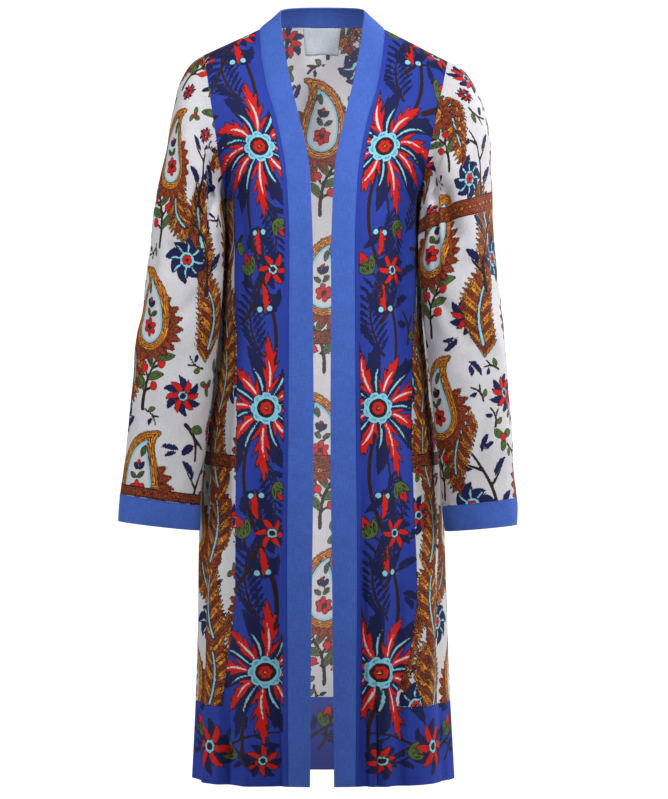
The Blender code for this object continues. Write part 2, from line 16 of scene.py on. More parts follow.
import bmesh
import bpy
import numpy as np
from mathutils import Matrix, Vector


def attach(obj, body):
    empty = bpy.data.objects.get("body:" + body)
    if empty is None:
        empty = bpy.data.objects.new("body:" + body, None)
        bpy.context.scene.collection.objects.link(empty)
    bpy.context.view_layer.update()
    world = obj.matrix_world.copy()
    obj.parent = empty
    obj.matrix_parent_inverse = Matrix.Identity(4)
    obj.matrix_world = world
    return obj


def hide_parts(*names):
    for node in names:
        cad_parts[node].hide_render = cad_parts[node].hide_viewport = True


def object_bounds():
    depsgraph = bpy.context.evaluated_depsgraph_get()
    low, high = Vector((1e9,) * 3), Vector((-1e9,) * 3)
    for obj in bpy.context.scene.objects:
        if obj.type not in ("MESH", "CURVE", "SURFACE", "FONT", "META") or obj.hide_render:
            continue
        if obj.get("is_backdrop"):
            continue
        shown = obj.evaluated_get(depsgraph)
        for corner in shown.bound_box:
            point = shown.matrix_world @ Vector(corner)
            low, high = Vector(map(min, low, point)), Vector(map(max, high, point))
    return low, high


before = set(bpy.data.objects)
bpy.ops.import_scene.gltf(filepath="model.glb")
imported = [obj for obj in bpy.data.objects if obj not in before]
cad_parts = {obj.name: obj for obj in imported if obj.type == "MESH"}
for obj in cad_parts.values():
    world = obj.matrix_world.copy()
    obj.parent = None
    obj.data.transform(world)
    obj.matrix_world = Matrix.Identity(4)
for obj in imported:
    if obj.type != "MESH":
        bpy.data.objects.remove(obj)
CAD_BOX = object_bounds()

LOG = logging.getLogger("robe")
Array = np.ndarray
Point = Sequence[float]
Table = tuple[tuple[float, ...], ...]
Material = bpy.types.Material
Object = bpy.types.Object

HEM_Z = -1.053
ARMPIT_Z = -0.243
ROW_SAMPLES = 160
PRINTED_THICKNESS = 0.0012
FOLDED_THICKNESS = 0.002
LABEL_THICKNESS = 0.001
LABEL_GAP = 0.0006
SEAM_DRAW = 0.00015
FAR_OUTSIDE = -0.02
UNDRAWN = 5 * FAR_OUTSIDE
ARC_POINTS = 12
NOISE_CELLS = 128
MIRROR = np.array([-1.0, 1.0, 1.0])


class Side(Enum):
    """A side of the wearer, with its direction along X."""

    RIGHT = -1
    LEFT = 1


class Ink(Enum):
    """Inks of the print, in the order in which they lie over one another."""

    COBALT = 0
    BROWN = 1
    NAVY = 2
    GREEN = 3
    OCHRE = 4
    RUST = 5
    RED = 6
    TURQUOISE = 7
    PALE = 8


# Curves and numbers


def ease(share: Array | float) -> Array:
    """A smooth step from 0 to 1."""
    share = np.clip(share, 0.0, 1.0)
    return share * share * (3.0 - 2.0 * share)


def unit(vectors: Array) -> Array:
    """Vectors of length one."""
    return vectors / np.maximum(np.linalg.norm(vectors, axis=-1, keepdims=True), 1e-12)


def path_length(points: Array) -> Array:
    """Distance along a line of points, from its first point."""
    return np.concatenate([[0.0], np.cumsum(np.linalg.norm(np.diff(points, axis=0), axis=1))])


def edged(steps: int, edge: float) -> Array:
    """Even shares from 0 to 1, with one short step more at each end."""
    return np.concatenate([[0.0, edge], np.linspace(0.0, 1.0, steps + 1)[1:-1], [1.0 - edge, 1.0]])


def on_side(side: Side, points: Array) -> Array:
    """Points drawn on the wearer's left, moved to their own side."""
    return points if side is Side.LEFT else points * MIRROR


def smooth_through(keys: Array, values: Array, at: Array) -> Array:
    """Reads a table on a smooth curve through its rows.

    Args:
        keys: The rising key of each row.
        values: The rows.
        at: The keys to read the table at.

    Returns:
        One row of values for each key that was asked for.
    """
    keys = np.asarray(keys, float)
    values = np.asarray(values, float)
    slopes = np.gradient(values, keys, axis=0)
    index = np.clip(np.searchsorted(keys, at, side="right") - 1, 0, len(keys) - 2)
    step = (keys[index + 1] - keys[index])[:, None]
    share = (np.asarray(at) - keys[index])[:, None] / step
    rise = values[index + 1] - values[index]
    start = slopes[index] * step
    end = slopes[index + 1] * step
    return values[index] + share * (
        start + share * ((3 * rise - 2 * start - end) + share * (start + end - 2 * rise))
    )


def even_noise(across: Array, down: Array, seed: int) -> Array:
    """Smooth random heights from -1 to 1 over a plane.

    Args:
        across: Places across the plane, one bump to each unit.
        down: Places down the plane, one bump to each unit.
        seed: A number that picks the pattern.

    Returns:
        The height at each place.
    """
    lattice = np.random.default_rng(seed).uniform(-1.0, 1.0, (NOISE_CELLS, NOISE_CELLS))
    column = np.floor(across).astype(int)
    row = np.floor(down).astype(int)
    right = ease(across - column)
    lower = ease(down - row)

    def corner(to_right: int, to_lower: int) -> Array:
        """Heights at one corner of each place's cell."""
        return lattice[(row + to_lower) % NOISE_CELLS, (column + to_right) % NOISE_CELLS]

    top = corner(0, 0) * (1 - right) + corner(1, 0) * right
    bottom = corner(0, 1) * (1 - right) + corner(1, 1) * right
    return top * (1 - lower) + bottom * lower


# The shape of the robe


@dataclass(frozen=True)
class Band:
    """The band's seam on the cloth and its free edge, from the hem to the nape."""

    rows: Table = (
        (0.046, -0.118, HEM_Z, 0.0165, -0.122, HEM_Z),
        (0.0472, -0.118, -0.9, 0.0155, -0.122, -0.9),
        (0.048, -0.118, -0.74, 0.0135, -0.121, -0.74),
        (0.0465, -0.116, -0.57, 0.0118, -0.119, -0.57),
        (0.0453, -0.114, -0.4, 0.0125, -0.118, -0.4),
        (0.0462, -0.111, -0.26, 0.014, -0.115, -0.262),
        (0.051, -0.102, -0.19, 0.019, -0.107, -0.184),
        (0.0625, -0.083, -0.13, 0.032, -0.091, -0.124),
        (0.078, -0.053, -0.074, 0.046, -0.063, -0.062),
        (0.086, -0.022, -0.02, 0.056, -0.032, -0.004),
        (0.087, 0.004, 0.006, 0.059, -0.004, 0.026),
        (0.074, 0.043, 0.011, 0.0545, 0.024, 0.036),
        (0.042, 0.066, 0.015, 0.033, 0.042, 0.04),
        (0.0, 0.074, 0.016, 0.0, 0.049, 0.041),
    )
    neck_end: int = 10
    samples: int = 4000

    def keys(self) -> Array:
        """Distance of each table row along the seam from the hem."""
        return path_length(np.array(self.rows)[:, :3])

    def edges(self, at: Array) -> tuple[Array, Array]:
        """Seam points and free points at distances along the seam."""
        both = smooth_through(self.keys(), np.array(self.rows), at)
        return both[:, :3], both[:, 3:]

    def stations(self, grid: "BodyGrid") -> tuple[Array, Array, Array]:
        """Distances along the seam at which the rows of the body start.

        Args:
            grid: How finely the body is divided.

        Returns:
            The distances up to the armpit, from there to the shoulder seam, and on to the nape.
        """
        keys = self.keys()
        dense = np.linspace(0.0, keys[self.neck_end], self.samples)
        seam, _ = self.edges(dense)
        lower = np.interp(grid.levels(), seam[:, 2], dense)
        lower[0] = 0.0
        upper = lower[-1] + grid.climbs() * (dense[-1] - lower[-1])
        return lower, upper, dense[-1] + grid.neck_shares() * (keys[-1] - dense[-1])


@dataclass(frozen=True)
class SleeveShape:
    """The rings of one sleeve: outer x, outer z, inner x, inner z, middle y and half depth."""

    rings: Table
    cuff_end: tuple[float, ...]

    @staticmethod
    def ring(row: Sequence[float], turns: Array) -> Array:
        """Points of a ring, from under the arm round by the front.

        Args:
            row: The ring's six sizes.
            turns: The angles of its points, in radians.

        Returns:
            The points on the wearer's left.
        """
        outer_x, outer_z, inner_x, inner_z, mid_y, half_depth = row
        outer = np.array([outer_x, mid_y, outer_z])
        inner = np.array([inner_x, mid_y, inner_z])
        turns = np.asarray(turns)[:, None]
        depth = np.array([0.0, -half_depth, 0.0])
        return (outer + inner) / 2 - (outer - inner) / 2 * np.cos(turns) + depth * np.sin(turns)

    def sections(self, shares: Array) -> tuple[Array, Array]:
        """Reads the rings' table.

        Args:
            shares: Places down the sleeve, as shares of its outer length.

        Returns:
            The ring's sizes at each place, and the distance of each down the sleeve.
        """
        table = np.array(self.rings)
        keys = path_length(table[:, [0, 4, 1]])
        along = shares * keys[-1]
        return smooth_through(keys, table, along), along


RIGHT_SLEEVE = SleeveShape(
    (
        (0.166, -0.031, 0.1345, ARMPIT_Z, 0.004, 0.07),
        (0.183, -0.043, 0.136, -0.2455, 0.0, 0.072),
        (0.1975, -0.067, 0.1365, -0.25, -0.007, 0.074),
        (0.208, -0.105, 0.1368, -0.259, -0.015, 0.075),
        (0.215, -0.148, 0.1366, -0.272, -0.024, 0.073),
        (0.226, -0.206, 0.1362, -0.292, -0.031, 0.068),
        (0.242, -0.3, 0.138, -0.338, -0.038, 0.061),
        (0.25, -0.374, 0.1425, -0.4, -0.043, 0.058),
        (0.262, -0.463, 0.151, -0.48, -0.046, 0.054),
        (0.271, -0.56, 0.161, -0.574, -0.049, 0.051),
        (0.278, -0.615, 0.168, -0.628, -0.051, 0.048),
        (0.282, -0.65, 0.1705, -0.666, -0.052, 0.047),
    ),
    (0.284, -0.688, 0.1715, -0.701, -0.052, 0.046),
)
LEFT_SLEEVE = SleeveShape(
    (
        (0.177, -0.04, 0.1345, ARMPIT_Z, 0.004, 0.07),
        (0.195, -0.05, 0.136, -0.2455, 0.0, 0.072),
        (0.212, -0.069, 0.1363, -0.25, -0.007, 0.074),
        (0.2265, -0.1, 0.1363, -0.259, -0.015, 0.075),
        (0.236, -0.146, 0.1358, -0.272, -0.024, 0.073),
        (0.2395, -0.206, 0.135, -0.292, -0.031, 0.068),
        (0.242, -0.3, 0.1365, -0.338, -0.038, 0.061),
        (0.2485, -0.374, 0.142, -0.4, -0.043, 0.058),
        (0.257, -0.463, 0.15, -0.475, -0.046, 0.054),
        (0.2645, -0.56, 0.16, -0.57, -0.049, 0.051),
        (0.268, -0.615, 0.1665, -0.628, -0.051, 0.048),
        (0.272, -0.655, 0.169, -0.667, -0.052, 0.047),
    ),
    (0.2715, -0.693, 0.173, -0.702, -0.052, 0.046),
)
SLEEVES = {Side.RIGHT: RIGHT_SLEEVE, Side.LEFT: LEFT_SLEEVE}


@dataclass(frozen=True)
class BodyGrid:
    """How finely a body panel is divided, with a short step along each of its edges."""

    lower_rows: int
    upper_rows: int
    columns: int
    neck_columns: int
    edge: float = 0.0045
    hem_edge: float = 0.0012

    def levels(self) -> Array:
        """Heights of the rows from the hem to the armpit."""
        shares = np.concatenate([[0.0, self.hem_edge], np.linspace(0.0, 1.0, self.lower_rows + 1)[1:]])
        return HEM_Z + (ARMPIT_Z - HEM_Z) * shares

    def climbs(self) -> Array:
        """Shares of the rows from the armpit to the shoulder seam."""
        even = np.linspace(0.0, 1.0, self.upper_rows + 1)[1:-1]
        return np.concatenate([even, [1.0 - self.edge, 1.0]])

    def shares(self) -> Array:
        """Shares of the columns from the band seam to the side seam."""
        return edged(self.columns, self.edge)

    def neck_shares(self) -> Array:
        """Shares of the columns from the shoulder seam to the nape."""
        return np.linspace(0.0, 1.0, self.neck_columns + 1)[1:]


@dataclass(frozen=True)
class Body:
    """The fronts and the back as smooth surfaces."""

    band: Band = field(default_factory=Band)
    sections: Table = (
        (-1.053, 0.184, 0.01, 0.112),
        (-0.945, 0.179, 0.015, 0.114),
        (-0.8, 0.175, 0.022, 0.117),
        (-0.7, 0.173, 0.03, 0.116),
        (-0.6, 0.168, 0.036, 0.112),
        (-0.53, 0.161, 0.038, 0.108),
        (-0.46, 0.152, 0.039, 0.106),
        (-0.37, 0.144, 0.038, 0.104),
        (-0.3, 0.14, 0.032, 0.104),
        (ARMPIT_Z, 0.1345, 0.004, 0.106),
    )
    centre_back: Table = ((ARMPIT_Z, 0.106), (-0.18, 0.106), (-0.11, 0.101), (-0.05, 0.091), (0.016, 0.074))
    shoulder_slope: float = math.radians(26.5)
    flat_reach: float = 0.62
    round_reach: float = 0.52
    straight_reach: float = 0.33
    lift_spread: float = 0.25
    turn_depth: float = 0.03
    neck_part: float = 7.0 / 19.0
    rounded_rows: float = 26.0
    rounded_inner: float = 0.3
    rounded_outer: float = 0.16
    rounding_passes: int = 160

    def row(self, start: Array, end: Array, climb: float, shares: Array) -> Array:
        """One row of a half panel, from its inner edge to its side seam or armhole.

        Args:
            start: The row's first point.
            end: Its last point.
            climb: 0 up to the armpit, where the row turns to meet the side squarely, to 1 at the
                shoulder seam, where the row is nearly straight.
            shares: Where its points lie, as shares of its length.

        Returns:
            The row's points.
        """
        across = end[0] - start[0]
        depth = end[1] - start[1]
        straight = float(ease(climb))
        turn = math.radians(90.0) * (1.0 - straight)
        slope = self.shoulder_slope * climb
        start_way = np.array([math.cos(slope), 0.0, -math.sin(slope)])
        end_way = np.array(
            [
                math.cos(turn) * math.cos(slope),
                math.sin(turn) * min(1.0, max(-1.0, depth / self.turn_depth)),
                -math.cos(turn) * math.sin(slope),
            ]
        )
        run = self.straight_reach * np.linalg.norm(end - start) * straight
        first = start + start_way * (self.flat_reach * across * (1.0 - straight) + run)
        last = end - end_way * (self.round_reach * abs(depth) * (1.0 - straight) + run)
        share = np.linspace(0.0, 1.0, ROW_SAMPLES)[:, None]
        rest = 1.0 - share
        curve = rest**3 * start + 3 * rest**2 * share * first
        curve = curve + 3 * rest * share**2 * last + share**3 * end
        length = path_length(curve)
        return np.stack([np.interp(shares * length[-1], length, curve[:, k]) for k in range(3)], axis=1)

    def levels_at(self, heights: Array) -> Array:
        """Half width, side depth and back depth at each height."""
        table = np.array(self.sections)
        return smooth_through(table[:, 0], table[:, 1:], heights)

    def rounded(self, rows: Array, armpit: int, shares: Array) -> Array:
        """A half panel with the sharp turn inside it at the armpit rounded off.

        Args:
            rows: Its points.
            armpit: The row at the armpit.
            shares: Where its columns lie, from 0 to 1 at the side.

        Returns:
            The points, with those along its edges where they were.
        """
        near = np.exp(-(((np.arange(len(rows)) - armpit) / self.rounded_rows) ** 2))
        near[0] = near[-1] = 0.0
        inner, outer = ease(shares / self.rounded_inner), ease((1.0 - shares) / self.rounded_outer)
        weight = near[:, None] * inner * outer
        for _ in range(self.rounding_passes):
            middle = (np.roll(rows, 1, axis=0) + np.roll(rows, -1, axis=0)) / 2
            rows = rows + weight[:, :, None] * 0.5 * (middle - rows)
        return rows

    def half_front(self, grid: BodyGrid, sleeve: SleeveShape) -> Array:
        """Points of a front panel from the band seam to the side.

        Args:
            grid: How finely the panel is divided.
            sleeve: The sleeve whose first ring is the armhole.

        Returns:
            The points, drawn on the wearer's left.
        """
        lower, upper, _ = self.band.stations(grid)
        seam, _ = self.band.edges(lower)
        shares = grid.shares()
        rows = [
            self.row(start, np.array([half_width, side_y, start[2]]), 0.0, shares)
            for start, (half_width, side_y, _) in zip(seam, self.levels_at(seam[:, 2]))
        ]
        above, _ = self.band.edges(upper)
        edge = sleeve.ring(sleeve.rings[0], np.concatenate([[0.0], grid.climbs()]) * math.pi)
        rows[-1] = self.row(seam[-1], edge[0], 0.0, shares)
        armpit = len(rows) - 1
        for start, end, climb in zip(above, edge[1:], grid.climbs()):
            rows.append(self.row(start, end, climb, shares))
        return self.rounded(np.array(rows), armpit, shares)

    def softened(self, shift: Array, along: Array, spread: float) -> Array:
        """Evens out the shifts of a row's points.

        Args:
            shift: The shift of each point.
            along: Where the points lie, as shares of the row's length.
            spread: The share of the length over which the shifts are averaged.

        Returns:
            The averaged shifts, with none at the row's two ends.
        """
        if spread < 1e-6:
            return shift
        near = np.exp(-0.5 * ((along[:, None] - along[None, :]) / spread) ** 2) * np.gradient(along)
        soft = near @ shift / near.sum(axis=1, keepdims=True)
        return soft - soft[0] * (1 - along[:, None]) - soft[-1] * along[:, None]

    def back_shares(self, grid: BodyGrid) -> Array:
        """Shares of the back's columns from its centre to the side seam."""
        nape = (1.0 - grid.neck_shares()[::-1]) * self.neck_part
        return np.concatenate([nape, self.neck_part + (1.0 - self.neck_part) * grid.shares()])

    def half_back(self, grid: BodyGrid, sleeve: SleeveShape) -> Array:
        """Points of half of the back from its centre to the side.

        Args:
            grid: How finely the panel is divided.
            sleeve: The sleeve whose first ring is the armhole.

        Returns:
            The points, drawn on the wearer's left.
        """
        lower, _, neck = self.band.stations(grid)
        seam, _ = self.band.edges(lower)
        even = self.back_shares(grid)
        rows = [
            self.row(np.array([0.0, back_y, level]), np.array([half_width, side_y, level]), 0.0, even)
            for level, (half_width, side_y, back_y) in zip(seam[:, 2], self.levels_at(seam[:, 2]))
        ]
        edge = sleeve.ring(sleeve.rings[0], np.concatenate([[0.0], grid.climbs()]) * -math.pi)
        rows[-1] = self.row(rows[-1][0], edge[0], 0.0, even)
        armpit = len(rows) - 1
        centre = np.array([[0.0, y, z] for z, y in self.centre_back])
        along = path_length(centre)
        middle = smooth_through(along, centre, grid.climbs() * along[-1])
        nape, _ = self.band.edges(neck)
        top = np.concatenate([nape[::-1], self.half_front(grid, sleeve)[-1]])
        fitted = path_length(top) / path_length(top)[-1]
        lift = top - self.row(middle[-1], edge[-1], 1.0, fitted)
        for start, end, climb in zip(middle, edge[1:], grid.climbs()):
            row = self.row(start, end, climb, even * (1 - climb) + fitted * climb)
            rows.append(row + climb**3 * self.softened(lift, fitted, self.lift_spread * (1 - climb)))
        rows[-1] = top
        return self.rounded(np.array(rows), armpit, even)


# Folds


class Fold:
    """A fold of any kind, which a table of folds holds in one row."""

    @classmethod
    def table(cls, *rows: Sequence[object]) -> tuple["Fold", ...]:
        """The folds of a table's rows."""
        return tuple(cls(*row) for row in rows)


@dataclass(frozen=True)
class BodyFold(Fold):
    """A long fold of the body. Its place is 0 at the band, 1 at the side seam, 2 at the centre back."""

    side: Side
    top_z: float
    top_place: float
    hem_place: float
    half_width: float
    height: float


@dataclass(frozen=True)
class SleeveFold(Fold):
    """A fold of a sleeve, between two spots given by distance down it and angle round it."""

    side: Side
    start_along: float
    start_turn: float
    end_along: float
    end_turn: float
    half_width: float
    height: float


@dataclass(frozen=True)
class Crease(Fold):
    """A small fold on the front, straight between two spots as they are seen from the front."""

    start_x: float
    start_z: float
    end_x: float
    end_z: float
    half_width: float
    height: float


R, L = Side.RIGHT, Side.LEFT


@dataclass(frozen=True)
class Drape:
    """How the cloth hangs: the long folds of the body, the sleeves' folds and small creases."""

    body: tuple[BodyFold, ...] = BodyFold.table(
        (R, -0.36, 0.14, 0.12, 0.012, -0.004), (R, -0.4, 0.3, 0.28, 0.02, 0.0046),
        (R, -0.46, 0.42, 0.44, 0.014, -0.0036), (R, -0.5, 0.56, 0.6, 0.022, 0.007),
        (R, -0.5, 0.74, 0.8, 0.016, -0.008), (L, -0.45, 0.16, 0.14, 0.012, 0.004),
        (L, -0.45, 0.3, 0.28, 0.016, -0.0046), (L, -0.5, 0.4, 0.41, 0.012, 0.003),
        (L, -0.55, 0.52, 0.54, 0.024, 0.005), (L, -0.55, 0.72, 0.76, 0.018, -0.007),
        (L, -0.62, 0.94, 0.97, 0.022, 0.003), (R, -0.26, 1.22, 1.2, 0.02, -0.011),
        (R, -0.24, 1.38, 1.36, 0.022, 0.011), (R, -0.3, 1.56, 1.57, 0.02, -0.01),
        (R, -0.34, 1.72, 1.76, 0.022, 0.009), (L, -0.24, 1.2, 1.18, 0.022, -0.01),
        (L, -0.26, 1.35, 1.4, 0.022, 0.01), (L, -0.32, 1.6, 1.62, 0.022, -0.009),
        (L, -0.36, 1.78, 1.8, 0.02, 0.008),
    )
    sleeves: tuple[SleeveFold, ...] = SleeveFold.table(
        (R, 0.09, 52, 0.25, 84, 0.011, -0.0085), (R, 0.07, 80, 0.27, 108, 0.012, 0.006),
        (R, 0.24, 150, 0.42, 82, 0.016, 0.0035), (R, 0.42, 140, 0.6, 105, 0.014, -0.0042),
        (R, 0.16, 128, 0.34, 152, 0.013, -0.0036), (R, 0.3, 40, 0.4, 96, 0.011, -0.0038),
        (R, 0.1, 300, 0.34, 250, 0.016, -0.006), (R, 0.36, 225, 0.52, 285, 0.016, -0.005),
        (L, 0.09, 56, 0.25, 88, 0.011, -0.0085), (L, 0.07, 84, 0.29, 114, 0.012, 0.006),
        (L, 0.26, 150, 0.46, 84, 0.016, 0.0035), (L, 0.44, 126, 0.62, 84, 0.014, -0.0042),
        (L, 0.14, 132, 0.32, 154, 0.013, -0.0036), (L, 0.32, 42, 0.42, 92, 0.011, -0.0038),
        (L, 0.11, 304, 0.32, 244, 0.016, -0.006), (L, 0.34, 235, 0.5, 290, 0.016, -0.005),
    )
    creases: tuple[Crease, ...] = Crease.table(
        (-0.14, -0.86, -0.148, -1.25, 0.007, 0.006), (-0.128, -0.88, -0.133, -1.25, 0.006, -0.0044),
        (-0.152, -0.955, -0.093, -1.03, 0.0065, 0.0044), (-0.14, -0.995, -0.088, -1.046, 0.006, -0.004),
        (-0.068, -0.6, -0.056, -1.25, 0.0065, -0.008), (-0.062, -0.48, -0.06, -0.86, 0.006, 0.0024),
        (-0.1, -0.7, -0.108, -1.25, 0.008, 0.0036), (0.054, -0.56, 0.063, -1.25, 0.0065, -0.0074),
        (0.0735, -0.8, 0.0806, -1.25, 0.0045, -0.005), (0.083, -0.78, 0.09, -1.25, 0.006, 0.004),
        (0.112, -0.64, 0.121, -1.25, 0.008, 0.0036), (0.164, -0.86, 0.182, -1.25, 0.007, 0.004),
        (-0.1344, -0.16, -0.123, -0.35, 0.006, -0.0052), (-0.122, -0.19, -0.115, -0.44, 0.007, 0.004),
        (-0.108, -0.23, -0.109, -0.42, 0.008, -0.0024), (-0.153, -0.17, -0.157, -0.35, 0.006, -0.0085),
        (-0.161, -0.19, -0.166, -0.35, 0.0055, 0.005), (-0.169, -0.19, -0.177, -0.33, 0.006, -0.0075),
        (0.1358, -0.2, 0.1427, -0.39, 0.006, -0.005), (0.156, -0.18, 0.16, -0.37, 0.006, -0.008),
        (0.164, -0.2, 0.169, -0.36, 0.0055, 0.0046), (0.173, -0.21, 0.18, -0.35, 0.006, -0.007),
        (0.125, -0.19, 0.127, -0.43, 0.007, 0.0038), (0.11, -0.23, 0.113, -0.43, 0.008, -0.0024),
    )
    place_length: float = 0.19
    growth: float = 0.3
    band_share: float = 0.12
    sleeve_round: float = 0.32
    sleeve_fade: float = 0.07
    crease_start: float = 0.35
    crease_end: float = 0.3

    def body_heights(self, side: Side, places: Array, levels: Array) -> Array:
        """Works out the long folds of the body.

        Args:
            side: The side of the body.
            places: Places round it, from 0 at the band to 2 at the centre back.
            levels: The height of each point above the origin.

        Returns:
            How far each point is raised.
        """
        total = np.zeros(places.shape)
        for fold in self.body:
            if fold.side is not side:
                continue
            down = np.clip((fold.top_z - levels) / (fold.top_z - HEM_Z), 0.0, 1.0)
            centre = fold.top_place + (fold.hem_place - fold.top_place) * down
            off = (places - centre) * self.place_length / fold.half_width
            total += fold.height * ease((fold.top_z - levels) / self.growth) * np.exp(-(off**2))
        return total * ease(places / self.band_share)

    def sleeve_heights(self, side: Side, turns: Array, along: Array, length: float) -> Array:
        """Works out the folds of a sleeve.

        Args:
            side: The side of the sleeve.
            turns: The angle of each point round it, in radians.
            along: The distance of each point down it.
            length: The sleeve's length.

        Returns:
            How far each point is raised.
        """
        total = np.zeros(turns.shape)
        for fold in self.sleeves:
            if fold.side is not side:
                continue
            run = fold.end_along - fold.start_along
            swing = math.radians(fold.end_turn - fold.start_turn)
            share = np.clip((along - fold.start_along) / run, 0.0, 1.0)
            gap = turns - math.radians(fold.start_turn) - swing * share
            gap = (gap + math.pi) % (2 * math.pi) - math.pi
            sideways = gap * self.sleeve_round / (2 * math.pi)
            beyond = along - (fold.start_along + run * share)
            total += fold.height * np.exp(-(sideways**2 + beyond**2) / fold.half_width**2)
        return total * ease(along / self.sleeve_fade) * ease((length - along) / self.sleeve_fade)

    def crease_heights(self, points: Array, normals: Array) -> Array:
        """Works out the small creases.

        Args:
            points: The points of the cloth.
            normals: Which way each faces. Only those that face the front are raised.

        Returns:
            How far each point is raised.
        """
        total = np.zeros(points.shape[:2])
        for crease in self.creases:
            start = np.array([crease.start_x, crease.start_z])
            way = np.array([crease.end_x, crease.end_z]) - start
            off = points[:, :, [0, 2]] - start
            share = np.clip((off @ way) / (way @ way), 0.0, 1.0)
            gap = np.linalg.norm(off - share[:, :, None] * way, axis=2)
            fade = ease(share / self.crease_start) * ease((1.0 - share) / self.crease_end)
            total += crease.height * fade * np.exp(-((gap / crease.half_width) ** 2))
        return total * ease(-normals[:, :, 1] * 2.0)


# Cloth as meshes


@dataclass
class Cloth:
    """One cut piece of cloth as a grid of points, with where each point lies on the flat piece."""

    name: str
    points: Array
    thickness: float
    tube: bool = False
    across: Array = field(init=False)
    up: Array = field(init=False)
    normals: Array = field(init=False)
    flat: tuple[float, float] = field(init=False)
    area: float = field(init=False)

    def __post_init__(self) -> None:
        """Measures the flat piece and finds which way its points face."""
        self.up = np.concatenate(
            [
                np.zeros((1, self.points.shape[1])),
                np.cumsum(np.linalg.norm(np.diff(self.points, axis=0), axis=2), axis=0),
            ]
        )
        closed = np.concatenate([self.points, self.points[:, :1]], axis=1) if self.tube else self.points
        steps = np.linalg.norm(np.diff(closed, axis=1), axis=2)
        self.across = np.concatenate([np.zeros((steps.shape[0], 1)), np.cumsum(steps, axis=1)], axis=1)
        self.flat = (float(self.across[:, -1].max()), float(self.up[-1].max()))
        self.area = float(np.trapz(self.across[:, -1], self.up.mean(axis=1)))
        self.face()

    def face(self) -> None:
        """Works out the direction out of the cloth at each point."""
        if self.tube:
            wrapped = np.concatenate([self.points[:, -1:], self.points, self.points[:, :1]], axis=1)
            across = np.gradient(wrapped, axis=1)[:, 1:-1]
        else:
            across = np.gradient(self.points, axis=1)
        normals = unit(np.cross(across, np.gradient(self.points, axis=0)))
        middle = self.points.mean(axis=(0, 1))
        if not self.tube:
            middle = np.array([0.0, 0.0, middle[2]])
        outwards = np.sum(normals * (self.points - middle))
        self.normals = normals if outwards > 0 else -normals

    def lift(self, heights: Array) -> None:
        """Raises the points out of the cloth by heights."""
        self.points = self.points + self.normals * heights[:, :, None]
        self.face()

    def draw_back(self, edges: Iterable[str]) -> None:
        """Draws sewn edges back into the piece by half of the seam's gap.

        Args:
            edges: The edges, of left, right, bottom and top.
        """
        everything = slice(None)
        places = {
            "left": ((everything, 0), (everything, 1)),
            "right": ((everything, -1), (everything, -2)),
            "bottom": ((0, everything), (1, everything)),
            "top": ((-1, everything), (-2, everything)),
        }
        for edge in edges:
            index, inside = places[edge]
            self.points[index] += unit(self.points[inside] - self.points[index]) * SEAM_DRAW

    def mesh(self, fields: Array | None) -> bpy.types.Mesh:
        """The piece as a mesh with its flat places as UVs and its inks as attributes.

        Args:
            fields: The distance from the edge of each ink at each point, or None.

        Returns:
            The mesh, in the middle of the cloth.
        """
        rows, columns = self.points.shape[:2]
        span = columns if self.tube else columns - 1
        shape = bmesh.new()
        shape.loops.layers.uv.new("cloth")
        bmesh.ops.create_grid(shape, x_segments=span, y_segments=rows - 1, size=1.0, calc_uvs=True)
        if self.tube:
            for vert in shape.verts:
                angle = math.pi * vert.co.x
                vert.co = Vector((math.cos(angle), math.sin(angle), vert.co.y * 4))
            bmesh.ops.remove_doubles(shape, verts=shape.verts, dist=1e-5)
        made = bpy.data.meshes.new(self.name)
        shape.to_mesh(made)
        shape.free()
        uvs = np.empty(len(made.loops) * 2, np.float32)
        made.uv_layers["cloth"].data.foreach_get("uv", uvs)
        corners = np.empty(len(made.loops), np.int32)
        made.loops.foreach_get("vertex_index", corners)
        column = np.rint(uvs[0::2] * span).astype(int)
        row = np.rint(uvs[1::2] * (rows - 1)).astype(int)
        up = np.concatenate([self.up, self.up[:, :1]], axis=1) if self.tube else self.up
        flat = np.stack([self.across[row, column], up[row, column]], axis=1).astype(np.float32)
        made.uv_layers["cloth"].data.foreach_set("uv", flat.ravel())
        spot = np.empty(len(made.vertices), int)
        spot[corners] = row * columns + column % columns
        made.vertices.foreach_set("co", self.points.reshape(-1, 3)[spot].astype(np.float32).ravel())
        if fields is not None:
            inks = fields.reshape(len(Ink), -1).T[spot]
            for part, name in enumerate(("print_low", "print_mid", "print_high")):
                layer = made.attributes.new(name, "FLOAT_VECTOR", "POINT")
                three = inks[:, 3 * part : 3 * part + 3].astype(np.float32)
                layer.data.foreach_set("vector", three.ravel())
        made.update()
        facing = np.empty(len(made.vertices) * 3, np.float32)
        made.vertices.foreach_get("normal", facing)
        if np.sum(facing.reshape(-1, 3) * self.normals.reshape(-1, 3)[spot]) < 0:
            made.flip_normals()
        made.shade_smooth()
        return made

    def make(self, outside: Material, inside: Material, fields: Array | None = None) -> Object:
        """The finished piece as an object of real thickness.

        Args:
            outside: The material of its right side.
            inside: The material of its wrong side.
            fields: The distance from the edge of each ink, or None for plain cloth.

        Returns:
            The object, at the origin.
        """
        data = self.mesh(fields)
        data.materials.append(outside)
        data.materials.append(inside)
        piece = bpy.data.objects.new(self.name, data)
        bpy.context.scene.collection.objects.link(piece)
        wall = piece.modifiers.new("cloth thickness", "SOLIDIFY")
        wall.thickness = self.thickness
        wall.offset = 0.0
        wall.use_rim = True
        wall.material_offset = 1
        return piece


# The printed pattern


@dataclass(frozen=True)
class FlameShape:
    """The side points of a flame, a slim bent petal, as shares of its length and its half width."""

    bend: float = 0.8
    points: int = 6
    first: float = 0.1
    apart: float = 0.1
    spread: float = 0.42
    closing: float = 0.03
    reach: float = 0.37
    shortening: float = 0.012
    half_width: float = 0.36


FLAME = FlameShape()


